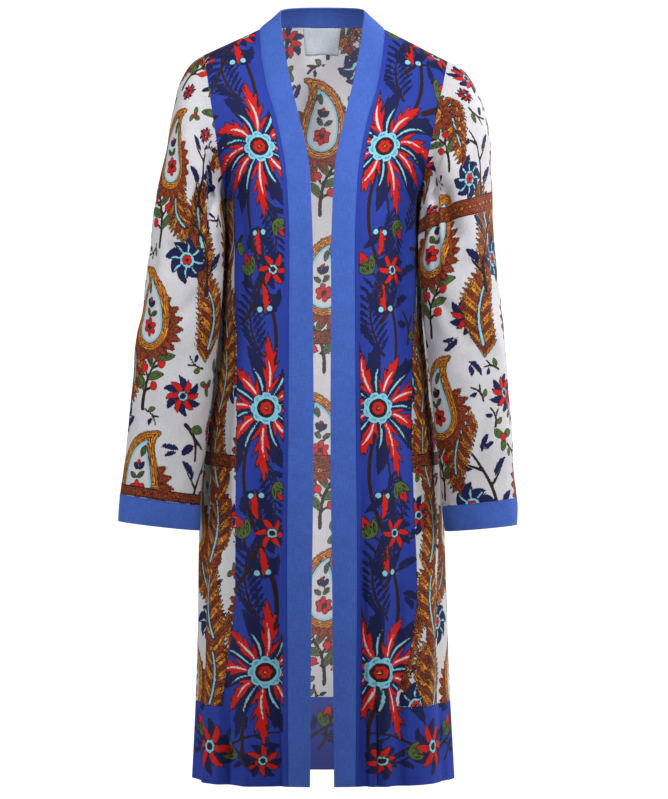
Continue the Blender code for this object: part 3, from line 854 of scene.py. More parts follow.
@dataclass
class Brush:
    """A part of the cloth near one motif, in the motif's own upright axes and at its own size."""

    sheet: "PrintSheet"
    index: Array
    x: Array
    y: Array
    size: float

    def lay(self, ink: Ink, inside: Array) -> None:
        """Prints the shape that each point is so far inside."""
        self.sheet.lay(ink, inside * self.size, self.index)

    def disc(self, ink: Ink, x: float, y: float, radius: float) -> None:
        """Prints a disc."""
        self.lay(ink, radius - np.hypot(self.x - x, self.y - y))

    def bloom(self, ink: Ink, radius: float, petals: int, depth: float, turn: float = 0.0) -> None:
        """Prints a scalloped disc round the middle.

        Args:
            ink: Its ink.
            radius: Its radius to the tips of the scallops.
            petals: How many scallops it has.
            depth: How deep they are cut, as a share of the radius.
            turn: The angle of the first scallop.
        """
        angle = np.arctan2(self.y, self.x) - turn
        edge = radius * (1.0 - depth + depth * np.sqrt(np.abs(np.cos(angle * petals / 2))))
        self.lay(ink, edge - np.hypot(self.x, self.y))

    def petal(self, ink: Ink, start: Point, end: Point, half_width: float, bend: float = 0.0) -> None:
        """Prints a pointed petal or leaf.

        Args:
            ink: Its ink.
            start: The point where it starts.
            end: The point where it ends.
            half_width: Half of its width.
            bend: How far its middle is bent to its left.
        """
        way = np.array([end[0] - start[0], end[1] - start[1]])
        length = float(np.hypot(*way))
        way = way / length
        along = (self.x - start[0]) * way[0] + (self.y - start[1]) * way[1]
        share = np.clip(along / length, 0.0, 1.0)
        beside = (self.y - start[1]) * way[0] - (self.x - start[0]) * way[1]
        beside = np.abs(beside - 4 * bend * share * (1 - share))
        radius = (length * length / 4 + half_width * half_width) / (2 * half_width)
        self.lay(ink, radius - np.hypot(along - length / 2, beside + radius - half_width))

    def flame(self, ink: Ink, start: Point, end: Point, half_width: float) -> None:
        """Prints a slim bent petal with side points.

        Args:
            ink: Its ink.
            start: The point where it starts.
            end: The point where it ends.
            half_width: Half of its width.
        """
        way = np.subtract(end, start)
        across = np.array([-way[1], way[0]])
        bend = FLAME.bend * half_width
        self.petal(ink, start, end, half_width, bend)
        for number in range(FLAME.points):
            share = FLAME.first + FLAME.apart * number
            aside = 4 * bend / float(np.hypot(*way)) * np.array([share * (1 - share), 1 - 2 * share])
            turn = aside[1] + (FLAME.spread - FLAME.closing * number) * (-1 if number % 2 else 1)
            foot = np.add(start, way * share + across * aside[0])
            reach = FLAME.reach - FLAME.shortening * number
            tip = foot + (way * math.cos(turn) + across * math.sin(turn)) * reach
            self.petal(ink, foot, tip, half_width * FLAME.half_width)

    def burst(
        self,
        ink: Ink,
        count: int,
        near: float,
        far: float,
        half_width: float,
        turn: float,
        short: float = 1.0,
    ) -> None:
        """Prints slim petals all round the middle.

        Args:
            ink: Their ink.
            count: How many there are.
            near: Where they start.
            far: How far they reach.
            half_width: Half of the width of each.
            turn: The angle of the first, in degrees.
            short: The reach of every second one, as a share of the others'.
        """
        for step in range(count):
            way = turn + 360 / count * step
            self.flame(ink, polar(near, way), polar(far * (short if step % 2 else 1.0), way), half_width)

    def stroke(self, ink: Ink, line: Sequence[Point], start: float, end: float | None = None) -> None:
        """Prints a drawn line.

        Args:
            ink: Its ink.
            line: Its points.
            start: Half of its width at its first point.
            end: Half of its width at its last point, or None where it is the same.
        """
        line = np.asarray(line, float)
        least = self.sheet.least_stroke / self.size
        widths = np.maximum(np.linspace(start, start if end is None else end, len(line)), least)
        best = np.full(self.x.shape, UNDRAWN)
        for first, last, wide, narrow in zip(line[:-1], line[1:], widths[:-1], widths[1:]):
            way = last - first
            share = (self.x - first[0]) * way[0] + (self.y - first[1]) * way[1]
            share = np.clip(share / max(way @ way, 1e-12), 0.0, 1.0)
            gap = np.hypot(self.x - first[0] - share * way[0], self.y - first[1] - share * way[1])
            best = np.maximum(best, wide * (1 - share) + narrow * share - gap)
        self.lay(ink, best)


@dataclass
class PrintSheet:
    """The print of one piece: how far inside each ink every point of its cloth lies."""

    across: Array
    up: Array
    least_stroke: float
    cell: float = 0.02
    column_key: int = 4096
    fields: Array = field(init=False)
    order: Array = field(init=False)
    cells: Array = field(init=False)

    def __post_init__(self) -> None:
        """Starts with bare cloth, its points sorted into square cells."""
        self.fields = np.full((len(Ink),) + self.across.shape, FAR_OUTSIDE)
        columns, rows = (np.floor(places.ravel() / self.cell) for places in (self.across, self.up))
        cells = columns * self.column_key + rows
        self.order = np.argsort(cells, kind="stable")
        self.cells = cells[self.order]

    def near(self, across: float, up: float, reach: float) -> Array:
        """Finds the points round a spot.

        Args:
            across: The spot's place across the cloth.
            up: Its place up the cloth.
            reach: How far from it the points may lie.

        Returns:
            The number of each point.
        """
        left, right = (math.floor((across + way * reach) / self.cell) for way in (-1, 1))
        low, high = (math.floor((up + way * reach) / self.cell) for way in (-1, 1))
        columns = np.arange(left, right + 1) * self.column_key
        ends = [np.searchsorted(self.cells, (column + low, column + high + 1)) for column in columns]
        index = np.concatenate([self.order[start:end] for start, end in ends])
        gap = np.hypot(self.across.ravel()[index] - across, self.up.ravel()[index] - up)
        return index[gap < reach]

    def flat_fields(self) -> Array:
        """The inks as one row of points each."""
        return self.fields.reshape(len(Ink), -1)

    def lay(self, ink: Ink, inside: Array, index: Array | slice = slice(None)) -> None:
        """Prints a shape over what is there already.

        Args:
            ink: Its ink.
            inside: How far inside the shape each point is, below zero outside it.
            index: Which points they are, or all of the cloth.
        """
        fields = self.flat_fields()
        fields[ink.value, index] = np.maximum(fields[ink.value, index], inside)
        for above in range(ink.value + 1, len(Ink)):
            fields[above, index] = np.minimum(fields[above, index], -inside)

    def wipe(self, inside: Array) -> None:
        """Leaves no ink inside a shape."""
        self.fields = np.minimum(self.fields, -inside)

    def brush(
        self,
        across: float,
        up: float,
        reach: float,
        turn: float = 0.0,
        size: float = 1.0,
        flip: bool = False,
    ) -> Brush:
        """A brush over the part of the cloth round one spot.

        Args:
            across: The spot's place across the cloth.
            up: Its place up the cloth.
            reach: How far the motif reaches from it.
            turn: How far the motif is turned, in degrees anticlockwise.
            size: How much larger than its own size the motif is.
            flip: Whether the motif is turned over.

        Returns:
            The brush.
        """
        index = self.near(across, up, reach * size + 0.01)
        off_x = self.across.ravel()[index] - across
        off_y = self.up.ravel()[index] - up
        angle = math.radians(turn)
        x = (off_x * math.cos(angle) + off_y * math.sin(angle)) / size
        y = (off_y * math.cos(angle) - off_x * math.sin(angle)) / size
        return Brush(self, index, -x if flip else x, y, size)

    def place(self, motif: "Motif", across: float, up: float, *manner: float) -> None:
        """Prints a motif at a place, with its turn, size and flip as a brush takes them."""
        motif.draw(self.brush(across, up, motif.reach, *manner))


@dataclass(frozen=True)
class Fillers:
    """Small motifs that go wherever the cloth is still bare, from the largest size to the least."""

    motifs: tuple["Motif", ...]
    radii: tuple[float, ...]
    low: float = -0.03
    tries: float = 2.2
    overlap: float = 0.95
    clearance: float = 0.0006

    def fill(self, sheet: PrintSheet, seed: int) -> None:
        """Prints them.

        Args:
            sheet: The piece's print.
            seed: A number that picks their places.
        """
        picker = np.random.default_rng(seed)
        left, right = float(sheet.across.min()), float(sheet.across.max())
        top = float(sheet.up.max())
        for radius in self.radii:
            for _ in range(int(self.tries * (right - left) * top / radius**2)):
                across, up = picker.uniform(left + radius, right), picker.uniform(self.low + radius, top)
                motif = self.motifs[picker.integers(len(self.motifs))]
                turn = picker.uniform(0.0, 360.0)
                near = sheet.near(across, up, radius * self.overlap)
                if near.size and sheet.flat_fields()[1:, near].max() < -self.clearance:
                    sheet.place(motif, across, up, turn, radius / motif.reach)


def polar(radius: float, degrees: float, raised: float = 0.0) -> tuple[float, float]:
    """A point at a distance and an angle from a middle, which may be raised."""
    angle = math.radians(degrees)
    return radius * math.cos(angle), radius * math.sin(angle) + raised


def arc(start: Point, bend: Point, end: Point) -> list[tuple[float, ...]]:
    """A curved line between two points, pulled towards a third."""
    return [
        tuple((1 - s) ** 2 * a + 2 * s * (1 - s) * b + s * s * c for a, b, c in zip(start, bend, end))
        for s in np.linspace(0.0, 1.0, ARC_POINTS)
    ]


class Motif:
    """A drawn motif of the print."""

    reach: float = 0.05

    def draw(self, brush: Brush) -> None:
        """Prints the motif.

        Args:
            brush: The brush over its part of the cloth. Every motif below takes the same.
        """
        raise NotImplementedError


class Starburst(Motif):
    """A large round flower with slim red petals over navy leaves."""

    reach = 0.088

    def draw(self, brush: Brush) -> None:
        """Prints the leaves, then the petals, their light ribs and the eye."""
        brush.burst(Ink.NAVY, 8, 0.01, 0.087, 0.0086, 34, 0.9)
        brush.burst(Ink.RED, 8, 0.008, 0.085, 0.0044, 10, 0.8)
        for step in range(8):
            for ink, first in ((Ink.TURQUOISE, 34), (Ink.PALE, 10)):
                way = first + 45 * step
                tip = polar(0.06 - 0.01 * (step % 2), way)
                brush.petal(ink, polar(0.012, way), tip, 0.0012, 0.004)
        brush.bloom(Ink.TURQUOISE, 0.0185, 8, 0.24, 0.18)
        brush.disc(Ink.BROWN, 0.0, 0.0, 0.011)
        brush.bloom(Ink.RED, 0.0076, 6, 0.25)
        brush.disc(Ink.OCHRE, 0.0, 0.0, 0.003)


class Rosette(Motif):
    """A small round red flower over navy leaves, with a turquoise heart."""

    reach = 0.036

    def draw(self, brush: Brush) -> None:
        """Prints the leaves, the petals and the heart."""
        brush.burst(Ink.NAVY, 6, 0.006, 0.034, 0.0062, 15)
        brush.burst(Ink.RED, 6, 0.003, 0.028, 0.004, 45)
        brush.bloom(Ink.TURQUOISE, 0.008, 7, 0.24)
        brush.disc(Ink.BROWN, 0.0, 0.0, 0.0046)


class NavyFlower(Motif):
    """A notched navy flower with a red heart."""

    reach = 0.04

    def draw(self, brush: Brush) -> None:
        """Prints the notched petals, their light ribs and the heart."""
        brush.burst(Ink.NAVY, 8, 0.002, 0.038, 0.0088, 0, 0.85)
        for way in range(0, 360, 45):
            brush.petal(Ink.TURQUOISE, polar(0.01, way), polar(0.029, way), 0.0016, 0.002)
        brush.bloom(Ink.TURQUOISE, 0.012, 8, 0.2, 0.39)
        brush.bloom(Ink.RED, 0.0088, 6, 0.24)
        brush.disc(Ink.BROWN, 0.0, 0.0, 0.003)


class Bud(Motif):
    """A lobed green bud with a red mouth on a bent stem."""

    reach = 0.05

    def draw(self, brush: Brush) -> None:
        """Prints the stem, its leaf and the bud."""
        brush.stroke(Ink.BROWN, arc((0.0, -0.046), (0.014, -0.022), (0.0, 0.0)), 0.0028, 0.0018)
        brush.flame(Ink.NAVY, (0.006, -0.03), (0.03, -0.004), 0.0052)
        brush.petal(Ink.RED, (0.0, 0.004), (0.0, 0.034), 0.007)
        for lean in (-0.008, 0.0, 0.008):
            brush.petal(Ink.GREEN, (lean * 0.2, -0.006), (lean * 1.9, 0.022), 0.005, lean * -0.2)


class Berries(Motif):
    """A dark sprig with green leaves and red berries."""

    reach = 0.055

    def draw(self, brush: Brush) -> None:
        """Prints the stem, the leaves and the berries."""
        brush.stroke(Ink.BROWN, arc((0.0, -0.05), (0.018, 0.0), (-0.004, 0.04)), 0.003, 0.0018)
        spots = ((0.007, -0.024, 1), (0.0075, -0.006, -1), (0.005, 0.012, 1), (0.001, 0.026, -1))
        for x, y, way in spots:
            brush.petal(Ink.GREEN, (x, y), (x + 0.025 * way, y + 0.018), 0.0056, 0.002 * way)
            brush.stroke(Ink.BROWN, [(x, y), (x - 0.011 * way, y + 0.01)], 0.002)
            brush.disc(Ink.RED, x - 0.0135 * way, y + 0.013, 0.006)
        brush.disc(Ink.RED, -0.004, 0.043, 0.006)


class LeafPair(Motif):
    """Two long navy leaves with a red tip between them."""

    reach = 0.055

    def draw(self, brush: Brush) -> None:
        """Prints the leaves and the tip."""
        for way in (-1, 1):
            brush.flame(Ink.NAVY, (0.0, -0.026), (0.036 * way, 0.026), 0.0086)
            brush.disc(Ink.TURQUOISE, 0.0105 * way, -0.012, 0.0058)
        brush.flame(Ink.RED, (0.0, -0.02), (0.0, 0.04), 0.0054)


class Frond(Motif):
    """A long bent navy leaf with many side leaves."""

    reach = 0.08

    def draw(self, brush: Brush) -> None:
        """Prints the side leaves and the rib."""
        rib = arc((0.0, -0.07), (0.032, 0.0), (-0.01, 0.066))
        for number, (x, y) in enumerate(rib[1:11]):
            size = 0.034 * math.sin(math.pi * (0.22 + 0.66 * number / 10))
            for way in (-1, 1):
                tip = (x + size * way, y + 0.022)
                brush.petal(Ink.NAVY, (x, y - 0.008), tip, 0.0034, 0.002 * way)
        brush.stroke(Ink.BROWN, rib, 0.0026, 0.0016)


class Branch(Motif):
    """A dark branch with side twigs that end in navy leaves."""

    reach = 0.085

    def draw(self, brush: Brush) -> None:
        """Prints the leaves, the twigs and the branch."""
        rib = arc((0.0, -0.078), (0.036, -0.01), (-0.006, 0.074))
        for number, way in ((2, 1), (4, -1), (6, 1), (8, -1)):
            x, y = rib[number]
            brush.flame(Ink.NAVY, (x + 0.012 * way, y + 0.008), (x + 0.042 * way, y + 0.036), 0.006)
            brush.stroke(Ink.BROWN, [(x, y), (x + 0.026 * way, y + 0.02)], 0.0026, 0.0014)
        brush.stroke(Ink.BROWN, rib, 0.0038, 0.0018)


class Boteh(Motif):
    """A drop with a bent tip, ochre with a turquoise line and a small flower inside."""

    reach = 0.09
    widths = (0.034, 0.0335, 0.032, 0.029, 0.0255, 0.0218, 0.018, 0.0145, 0.011, 0.0075, 0.0045, 0.002)
    discs = 34

    def drop(self, brush: Brush, ink: Ink, grow: float) -> None:
        """Prints the drop.

        Args:
            brush: The brush over its part of the cloth.
            ink: Its ink.
            grow: How much larger than its own size the drop is all round.
        """
        line = arc((0.0, -0.02), (0.002, 0.052), (-0.038, 0.06))
        best = np.full(brush.x.shape, UNDRAWN)
        shares = np.linspace(0.0, ARC_POINTS - 1.0, self.discs)
        rows = zip(*(np.interp(shares, np.arange(ARC_POINTS), part) for part in (*zip(*line), self.widths)))
        for x, y, width in rows:
            best = np.maximum(best, width + grow - np.hypot(brush.x - x, brush.y - y))
        brush.lay(ink, best)

    def draw(self, brush: Brush) -> None:
        """Prints the leafy edge, the drop, its line and its flower."""
        for step in range(17):
            way = 130 + 17 * step
            foot, tip = polar(0.028, way, -0.018), polar(0.055, way + 18, -0.018)
            brush.petal(Ink.RUST, foot, tip, 0.0056, 0.002)
        self.drop(brush, Ink.OCHRE, 0.001)
        self.drop(brush, Ink.TURQUOISE, -0.011)
        self.drop(brush, Ink.PALE, -0.014)
        for step in range(6):
            way = 60 * step + 30
            foot, tip = polar(0.003, way, -0.02), polar(0.0145, way, -0.02)
            brush.petal(Ink.RED, foot, tip, 0.0046)
        brush.disc(Ink.BROWN, 0.0, -0.02, 0.004)
        for way in (-1, 1):
            brush.petal(Ink.GREEN, (0.0, -0.004), (0.013 * way, 0.006), 0.0042)
            brush.petal(Ink.NAVY, (-0.003, 0.008), (0.009 * way - 0.004, 0.02), 0.0042)
        brush.disc(Ink.RED, -0.004, 0.02, 0.0036)
        brush.petal(Ink.GREEN, (-0.008, 0.026), (-0.015, 0.044), 0.0044)


class Plume(Motif):
    """A curved ochre spray of slim leaves."""

    reach = 0.088

    def draw(self, brush: Brush) -> None:
        """Prints the leaves along a bent rib."""
        rib = np.array(arc((0.0, -0.072), (0.034, 0.0), (-0.008, 0.064)))
        for number, share in enumerate(np.linspace(0.0, 10.4, 17)):
            x, y = (float(np.interp(share, np.arange(ARC_POINTS), rib[:, axis])) for axis in (0, 1))
            size = 0.032 * math.sin(math.pi * (0.22 + 0.64 * share / 10))
            ink = Ink.RUST if number % 3 == 1 else Ink.OCHRE
            for way in (-1, 1):
                tip = (x + size * way, y + 0.021)
                brush.petal(ink, (x, y - 0.008), tip, 0.0046, 0.003 * way)
        brush.stroke(Ink.TURQUOISE, rib[1:-2], 0.0022, 0.0013)
        brush.flame(Ink.RUST, (rib[-1][0], rib[-1][1] - 0.012), (-0.016, 0.084), 0.005)


@dataclass(frozen=True)
class Trefoil(Motif):
    """Three small leaves with a berry."""

    reach = 0.022
    leaf: Ink = Ink.GREEN
    berry: Ink = Ink.RED

    def draw(self, brush: Brush) -> None:
        """Prints the leaves and the berry."""
        for way in (30, 150, 270):
            brush.petal(self.leaf, polar(0.001, way), polar(0.019, way), 0.005, 0.0015)
        brush.disc(self.berry, 0.0, 0.0, 0.0048)


class NavyLeaf(Motif):
    """A pair of jagged navy leaves, one long and one short."""

    reach = 0.03

    def draw(self, brush: Brush) -> None:
        """Prints the leaves."""
        brush.flame(Ink.NAVY, (-0.004, -0.027), (0.004, 0.028), 0.007)
        brush.petal(Ink.NAVY, (0.002, -0.02), (0.023, 0.008), 0.006, 0.003)


class Twig(Motif):
    """A dark twig with two small leaves."""

    reach = 0.026

    def draw(self, brush: Brush) -> None:
        """Prints the twig and its leaves."""
        brush.stroke(Ink.BROWN, arc((-0.01, -0.022), (0.008, -0.004), (0.0, 0.022)), 0.0028, 0.0018)
        brush.stroke(Ink.BROWN, [(0.001, -0.004), (0.016, 0.01)], 0.0024, 0.0016)
        brush.petal(Ink.NAVY, (0.0, 0.004), (-0.019, 0.014), 0.0052, 0.002)
        brush.petal(Ink.GREEN, (-0.004, -0.014), (0.016, -0.012), 0.005, -0.002)


@dataclass(frozen=True)
class BorderPrint:
    """The cobalt print of the front borders and the hem: a winding vine with flowers on it."""

    repeats: int = 3
    repeat: float = 0.365
    first: float = 0.158
    middle: float = 0.04
    swing: float = 0.022
    bare_edge: float = 0.007
    bare_hem: float = 0.006
    hem_pitch: float = 0.124
    hem_middle: float = 0.052
    vine_low: float = 0.03
    vine_high: float = 1.11
    vine_points: int = 190
    vine_stretch: int = 3
    vine_half_width: float = 0.0026
    fillers: Fillers = Fillers(
        (NavyLeaf(), Twig(), NavyLeaf(), Trefoil(Ink.NAVY, Ink.TURQUOISE)), (0.026, 0.02), 0.008
    )

    def vine(self, sheet: PrintSheet, lean: int) -> None:
        """Prints the winding vine, in short stretches.

        Args:
            sheet: The front's print.
            lean: 1 or -1, the way in which it leans first.
        """
        heights = np.linspace(self.vine_low, self.vine_high, self.vine_points)
        phase = 2 * math.pi * (heights - self.first) / self.repeat
        winding = self.middle + lean * self.swing * np.sin(phase)
        for start in range(0, self.vine_points - 1, self.vine_stretch):
            stretch = slice(start, min(start + self.vine_stretch + 1, self.vine_points))
            brush = sheet.brush(winding[start], heights[start], 0.03)
            line = np.stack([winding[stretch] - winding[start], heights[stretch] - heights[start]], axis=1)
            brush.stroke(Ink.BROWN, line, self.vine_half_width)

    def border(self, sheet: PrintSheet, lean: int) -> None:
        """Prints the upright border of one front.

        Args:
            sheet: The front's print.
            lean: 1 or -1, the way in which the vine leans first.
        """
        mid = self.middle
        bases = [self.first + number * self.repeat for number in range(self.repeats)]
        for base in bases:
            sheet.place(Frond(), mid - 0.008 * lean, base + 0.126, 10.0 * lean, 0.78, lean > 0)
            sheet.place(Frond(), mid + 0.012 * lean, base + 0.236, 172.0, 0.72, lean > 0)
            sheet.place(Branch(), mid + 0.014, base + 0.182, -16.0 * lean, 0.86, lean < 0)
        self.vine(sheet, lean)
        for base in bases:
            sheet.place(LeafPair(), mid + 0.004 * lean, base + 0.146, 6.0 * lean, 0.7)
            sheet.place(Bud(), mid - 0.02 * lean, base + 0.19, 28.0 * lean, 0.86)
            sheet.place(Rosette(), mid + 0.017 * lean, base + 0.192, 10.0, 0.84)
            sheet.place(LeafPair(), mid - 0.004 * lean, base + 0.236, 176.0, 0.66)
            sheet.place(Bud(), mid + 0.024 * lean, base + 0.258, -150.0 * lean, 0.76)
            sheet.place(Starburst(), mid - 0.008, base, 9.0 * lean, 1.2)
        sheet.place(Rosette(), mid - 0.004, 0.036, 20.0 * lean, 0.8)
        sheet.place(Bud(), mid + 0.04, 0.044, -70.0, 0.74)

    def shoulder(self, sheet: PrintSheet, lean: int) -> None:
        """Prints the wider cobalt cloth between the border and the armhole.

        Args:
            sheet: The front's print.
            lean: 1 or -1, the way in which its leaves lean.
        """
        sheet.place(Frond(), 0.1, 0.812, -14.0 * lean, 0.62)
        sheet.place(Branch(), 0.086, 1.02, -12.0 * lean, 0.84)
        sheet.place(Bud(), 0.088, 1.0, -15.0, 0.8)
        sheet.place(Rosette(), 0.078, 1.062, 0.0, 0.8)

    def hem(self, sheet: PrintSheet, start: float, end: float) -> None:
        """Prints the border along the hem.

        Args:
            sheet: The piece's print.
            start: Where the first motif stands across the piece.
            end: Where the piece ends.
        """
        across, number, mid = start, 0, self.hem_middle
        while across < end:
            lean = 1 if number % 2 else -1
            flower, size = (Starburst(), 0.56) if number % 2 else (Rosette(), 1.2)
            sheet.place(Branch(), across - 0.056, mid + 0.002, -62.0 * lean, 0.7, lean > 0)
            sheet.place(Bud(), across + 0.056, mid + 0.014, 14.0 * lean, 0.8)
            sheet.place(flower, across, mid, 9.0, size)
            across += self.hem_pitch
            number += 1


@dataclass(frozen=True)
class FieldPrint:
    """The print of the ivory cloth: bent drops, sprays and sprigs in a brick repeat."""

    width: float = 0.17
    height: float = 0.226
    first_up: float = 0.03
    side_margin: float = 0.1
    top_margin: float = 0.15
    seed: int = 5
    sprays_up: float = 0.15
    spray_pitch: float = 0.105
    spray_count: int = 8
    stripe_edge: float = 0.0022
    dot_pitch: float = 0.012
    fillers: Fillers = Fillers((Twig(), NavyLeaf(), Trefoil(), Twig(), Rosette()), (0.03, 0.022, 0.016))

    def cover(self, sheet: PrintSheet, shift: float = 0.0) -> None:
        """Prints the repeat over a whole piece.

        Args:
            sheet: The piece's print.
            shift: How far the repeat is moved across.
        """
        low = sheet.across.min() - self.side_margin - shift
        high = sheet.across.max() + self.side_margin - shift
        top = sheet.up.max() + self.top_margin
        for row in range(-1, int(top / self.height) + 2):
            for column in range(int(low / self.width) - 1, int(high / self.width) + 2):
                up = self.first_up + (row + 0.5 * (column % 2)) * self.height
                self.tile(sheet, shift + column * self.width, up, bool((row + column) % 2))
        self.fillers.fill(sheet, self.seed)

    def tile(self, sheet: PrintSheet, across: float, up: float, flip: bool) -> None:
        """Prints one repeat.

        Args:
            sheet: The piece's print.
            across: The place of its drop across the piece.
            up: Its place up the piece.
            flip: Whether the repeat is turned over.
        """
        way = -1 if flip else 1
        sheet.place(Plume(), across + 0.084 * way, up + 0.012, 6.0 * way, 0.86, flip)
        sheet.place(Branch(), across + 0.066 * way, up + 0.1, 14.0 * way, 0.86, flip)
        sheet.place(Plume(), across + 0.04 * way, up + 0.154, 166.0, 0.72, flip)
        sheet.place(Boteh(), across, up, -8.0 * way, 0.96, flip)
        sheet.place(NavyFlower(), across + 0.05 * way, up + 0.08, 0.0, 0.9)
        sheet.place(Berries(), across - 0.01 * way, up + 0.138, 16.0 * way, 0.94, flip)
        sheet.place(Rosette(), across - 0.058 * way, up + 0.118, 0.0, 0.86)

    def sprays(self, sheet: PrintSheet, across: float, lean: int) -> None:
        """Prints a chain of ochre sprays up a front, beside its border.

        Args:
            sheet: The front's print.
            across: Where the chain runs.
            lean: 1 or -1, the way in which its first spray leans.
        """
        for number in range(self.spray_count):
            way = lean if number % 2 else -lean
            up = self.sprays_up + self.spray_pitch * number
            sheet.place(Plume(), across + 0.004 * way, up, 7.0 * way, 0.86, way > 0)

    def stripe(self, sheet: PrintSheet, up: Array | float, half_width: float) -> None:
        """Prints a rust stripe with dots across a piece.

        Args:
            sheet: The piece's print.
            up: The height of its middle, at each point or everywhere.
            half_width: Half of its width.
        """
        gap = np.abs(sheet.up - up).ravel()
        cell = (sheet.across.ravel() / self.dot_pitch + 0.5) % 1.0 - 0.5
        sheet.lay(Ink.BROWN, half_width + self.stripe_edge - gap)
        sheet.lay(Ink.RUST, half_width - gap)
        sheet.lay(Ink.OCHRE, 0.3 * half_width + 0.001 - np.hypot(cell * self.dot_pitch, gap))


# Materials


class Value:
    """A socket of a material's nodes, with the arithmetic that the patterns use."""

    def __init__(self, nodes: "Nodes", socket: bpy.types.NodeSocket) -> None:
        """Wraps a socket."""
        self.nodes = nodes
        self.socket = socket

    def __add__(self, other: "Value | float") -> "Value":
        """Sum."""
        return self.nodes.maths("ADD", self, other)

    def __sub__(self, other: "Value | float") -> "Value":
        """Difference."""
        return self.nodes.maths("SUBTRACT", self, other)

    def __rsub__(self, other: float) -> "Value":
        """Difference with a number first."""
        return self.nodes.maths("SUBTRACT", other, self)

    def __mul__(self, other: "Value | float") -> "Value":
        """Product."""
        return self.nodes.maths("MULTIPLY", self, other)

    __radd__ = __add__
    __rmul__ = __mul__


class Nodes:
    """Builds the nodes of one material, or of the world round the studio."""

    def __init__(self, owner: Material | bpy.types.World, shader: str = "Principled BSDF") -> None:
        """Starts from the owner's plain shader."""
        owner.use_nodes = True
        self.owner = owner
        self.tree = owner.node_tree
        self.shader = self.tree.nodes[shader]

    def node(
        self,
        kind: str,
        settings: Mapping[str, object] | None = None,
        inputs: Mapping[str | int, object] | None = None,
        output: str | int = 0,
    ) -> Value:
        """Adds a node.

        Args:
            kind: The node's type.
            settings: Its settings, which are made first.
            inputs: The values or links of its sockets.
            output: Which of its outputs is wanted.

        Returns:
            That output.
        """
        made = self.tree.nodes.new(kind)
        for key, setting in (settings or {}).items():
            setattr(made, key, setting)
        for key, value in (inputs or {}).items():
            if isinstance(value, Value):
                self.tree.links.new(value.socket, made.inputs[key])
            else:
                made.inputs[key].default_value = value
        return Value(self, made.outputs[output])

    def maths(self, operation: str, first: Value | float, second: Value | float = 0.0) -> Value:
        """A sum on values."""
        return self.node("ShaderNodeMath", {"operation": operation}, {0: first, 1: second})

    def blend(self, share: Value | float, first: object, second: object) -> Value:
        """A colour between two colours."""
        inputs = {0: share, 6: first, 7: second}
        return self.node("ShaderNodeMix", {"data_type": "RGBA"}, inputs, 2)

    def scaled(self, colour: object, factor: Value) -> Value:
        """A colour made lighter or darker by a value."""
        settings = {"data_type": "RGBA", "blend_type": "MULTIPLY"}
        grey = self.node("ShaderNodeCombineColor", None, {0: factor, 1: factor, 2: factor})
        return self.node("ShaderNodeMix", settings, {0: 1.0, 6: colour, 7: grey}, 2)

    def step(
        self, value: Value, low: float, high: float, start: float = 0.0, end: float = 1.0, even: bool = False
    ) -> Value:
        """A step between two values.

        Args:
            value: The value that it follows.
            low: The value at which it starts.
            high: The value at which it ends.
            start: What it is up to the first.
            end: What it is from the second on.
            even: Whether it rises evenly, not smoothly.

        Returns:
            The step.
        """
        inputs = {"Value": value, "From Min": low, "From Max": high, "To Min": start, "To Max": end}
        course = "LINEAR" if even else "SMOOTHSTEP"
        return self.node("ShaderNodeMapRange", {"interpolation_type": course}, inputs)

    def place(self, stretch: tuple[float, float, float], flat: bool = False) -> Value:
        """Places on the object, or on its flat cloth, stretched along each axis."""
        if flat:
            source = self.node("ShaderNodeUVMap", {"uv_map": "cloth"})
        else:
            source = self.node("ShaderNodeTexCoord", None, None, "Object")
        return self.node("ShaderNodeVectorMath", {"operation": "MULTIPLY"}, {0: source, 1: stretch})

    def noise(self, where: Value, scale: float, detail: float = 2.0) -> Value:
        """Smooth noise from 0 to 1 at a place."""
        return self.node("ShaderNodeTexNoise", None, {"Vector": where, "Scale": scale, "Detail": detail})

    def parts(self, whole: Value) -> tuple[Value, Value, Value]:
        """The three numbers of a vector."""
        first = self.node("ShaderNodeSeparateXYZ", None, {0: whole})
        outputs = first.socket.node.outputs
        return first, Value(self, outputs[1]), Value(self, outputs[2])

    def attribute(self, name: str) -> tuple[Value, Value, Value]:
        """The three numbers of one of the mesh's own attributes."""
        return self.parts(self.node("ShaderNodeAttribute", {"attribute_name": name}, None, "Vector"))

    def stitched(self, place: Value, at: float) -> Value:
        """The height of the cloth round a stitched line, 0 in the line and 1 beside it."""
        return self.step(self.maths("ABSOLUTE", place - at), 0.0003, 0.0012)

    def bump(self, height: Value, distance: float, strength: float, under: Value | None = None) -> Value:
        """A bump of the surface, which may lie on another bump."""
        inputs = {"Height": height, "Distance": distance, "Strength": strength}
        return self.node("ShaderNodeBump", None, inputs if under is None else inputs | {"Normal": under})

    def finish(self, colour: object, roughness: Value, normal: Value, sheen: float) -> Material:
        """Feeds the shader.

        Args:
            colour: The base colour.
            roughness: The roughness.
            normal: The bumped normal.
            sheen: How strongly the fibres catch light at the edges.

        Returns:
            The material.
        """
        inputs = self.shader.inputs
        for name, value in (("Base Color", colour), ("Roughness", roughness), ("Normal", normal)):
            self.tree.links.new(value.socket, inputs[name])
        inputs["Metallic"].default_value = 0.0
        inputs["Sheen Weight"].default_value = sheen
        inputs["Sheen Roughness"].default_value = 0.5
        inputs["Specular IOR Level"].default_value = 0.12
        return self.owner


Colour = tuple[float, float, float, float]

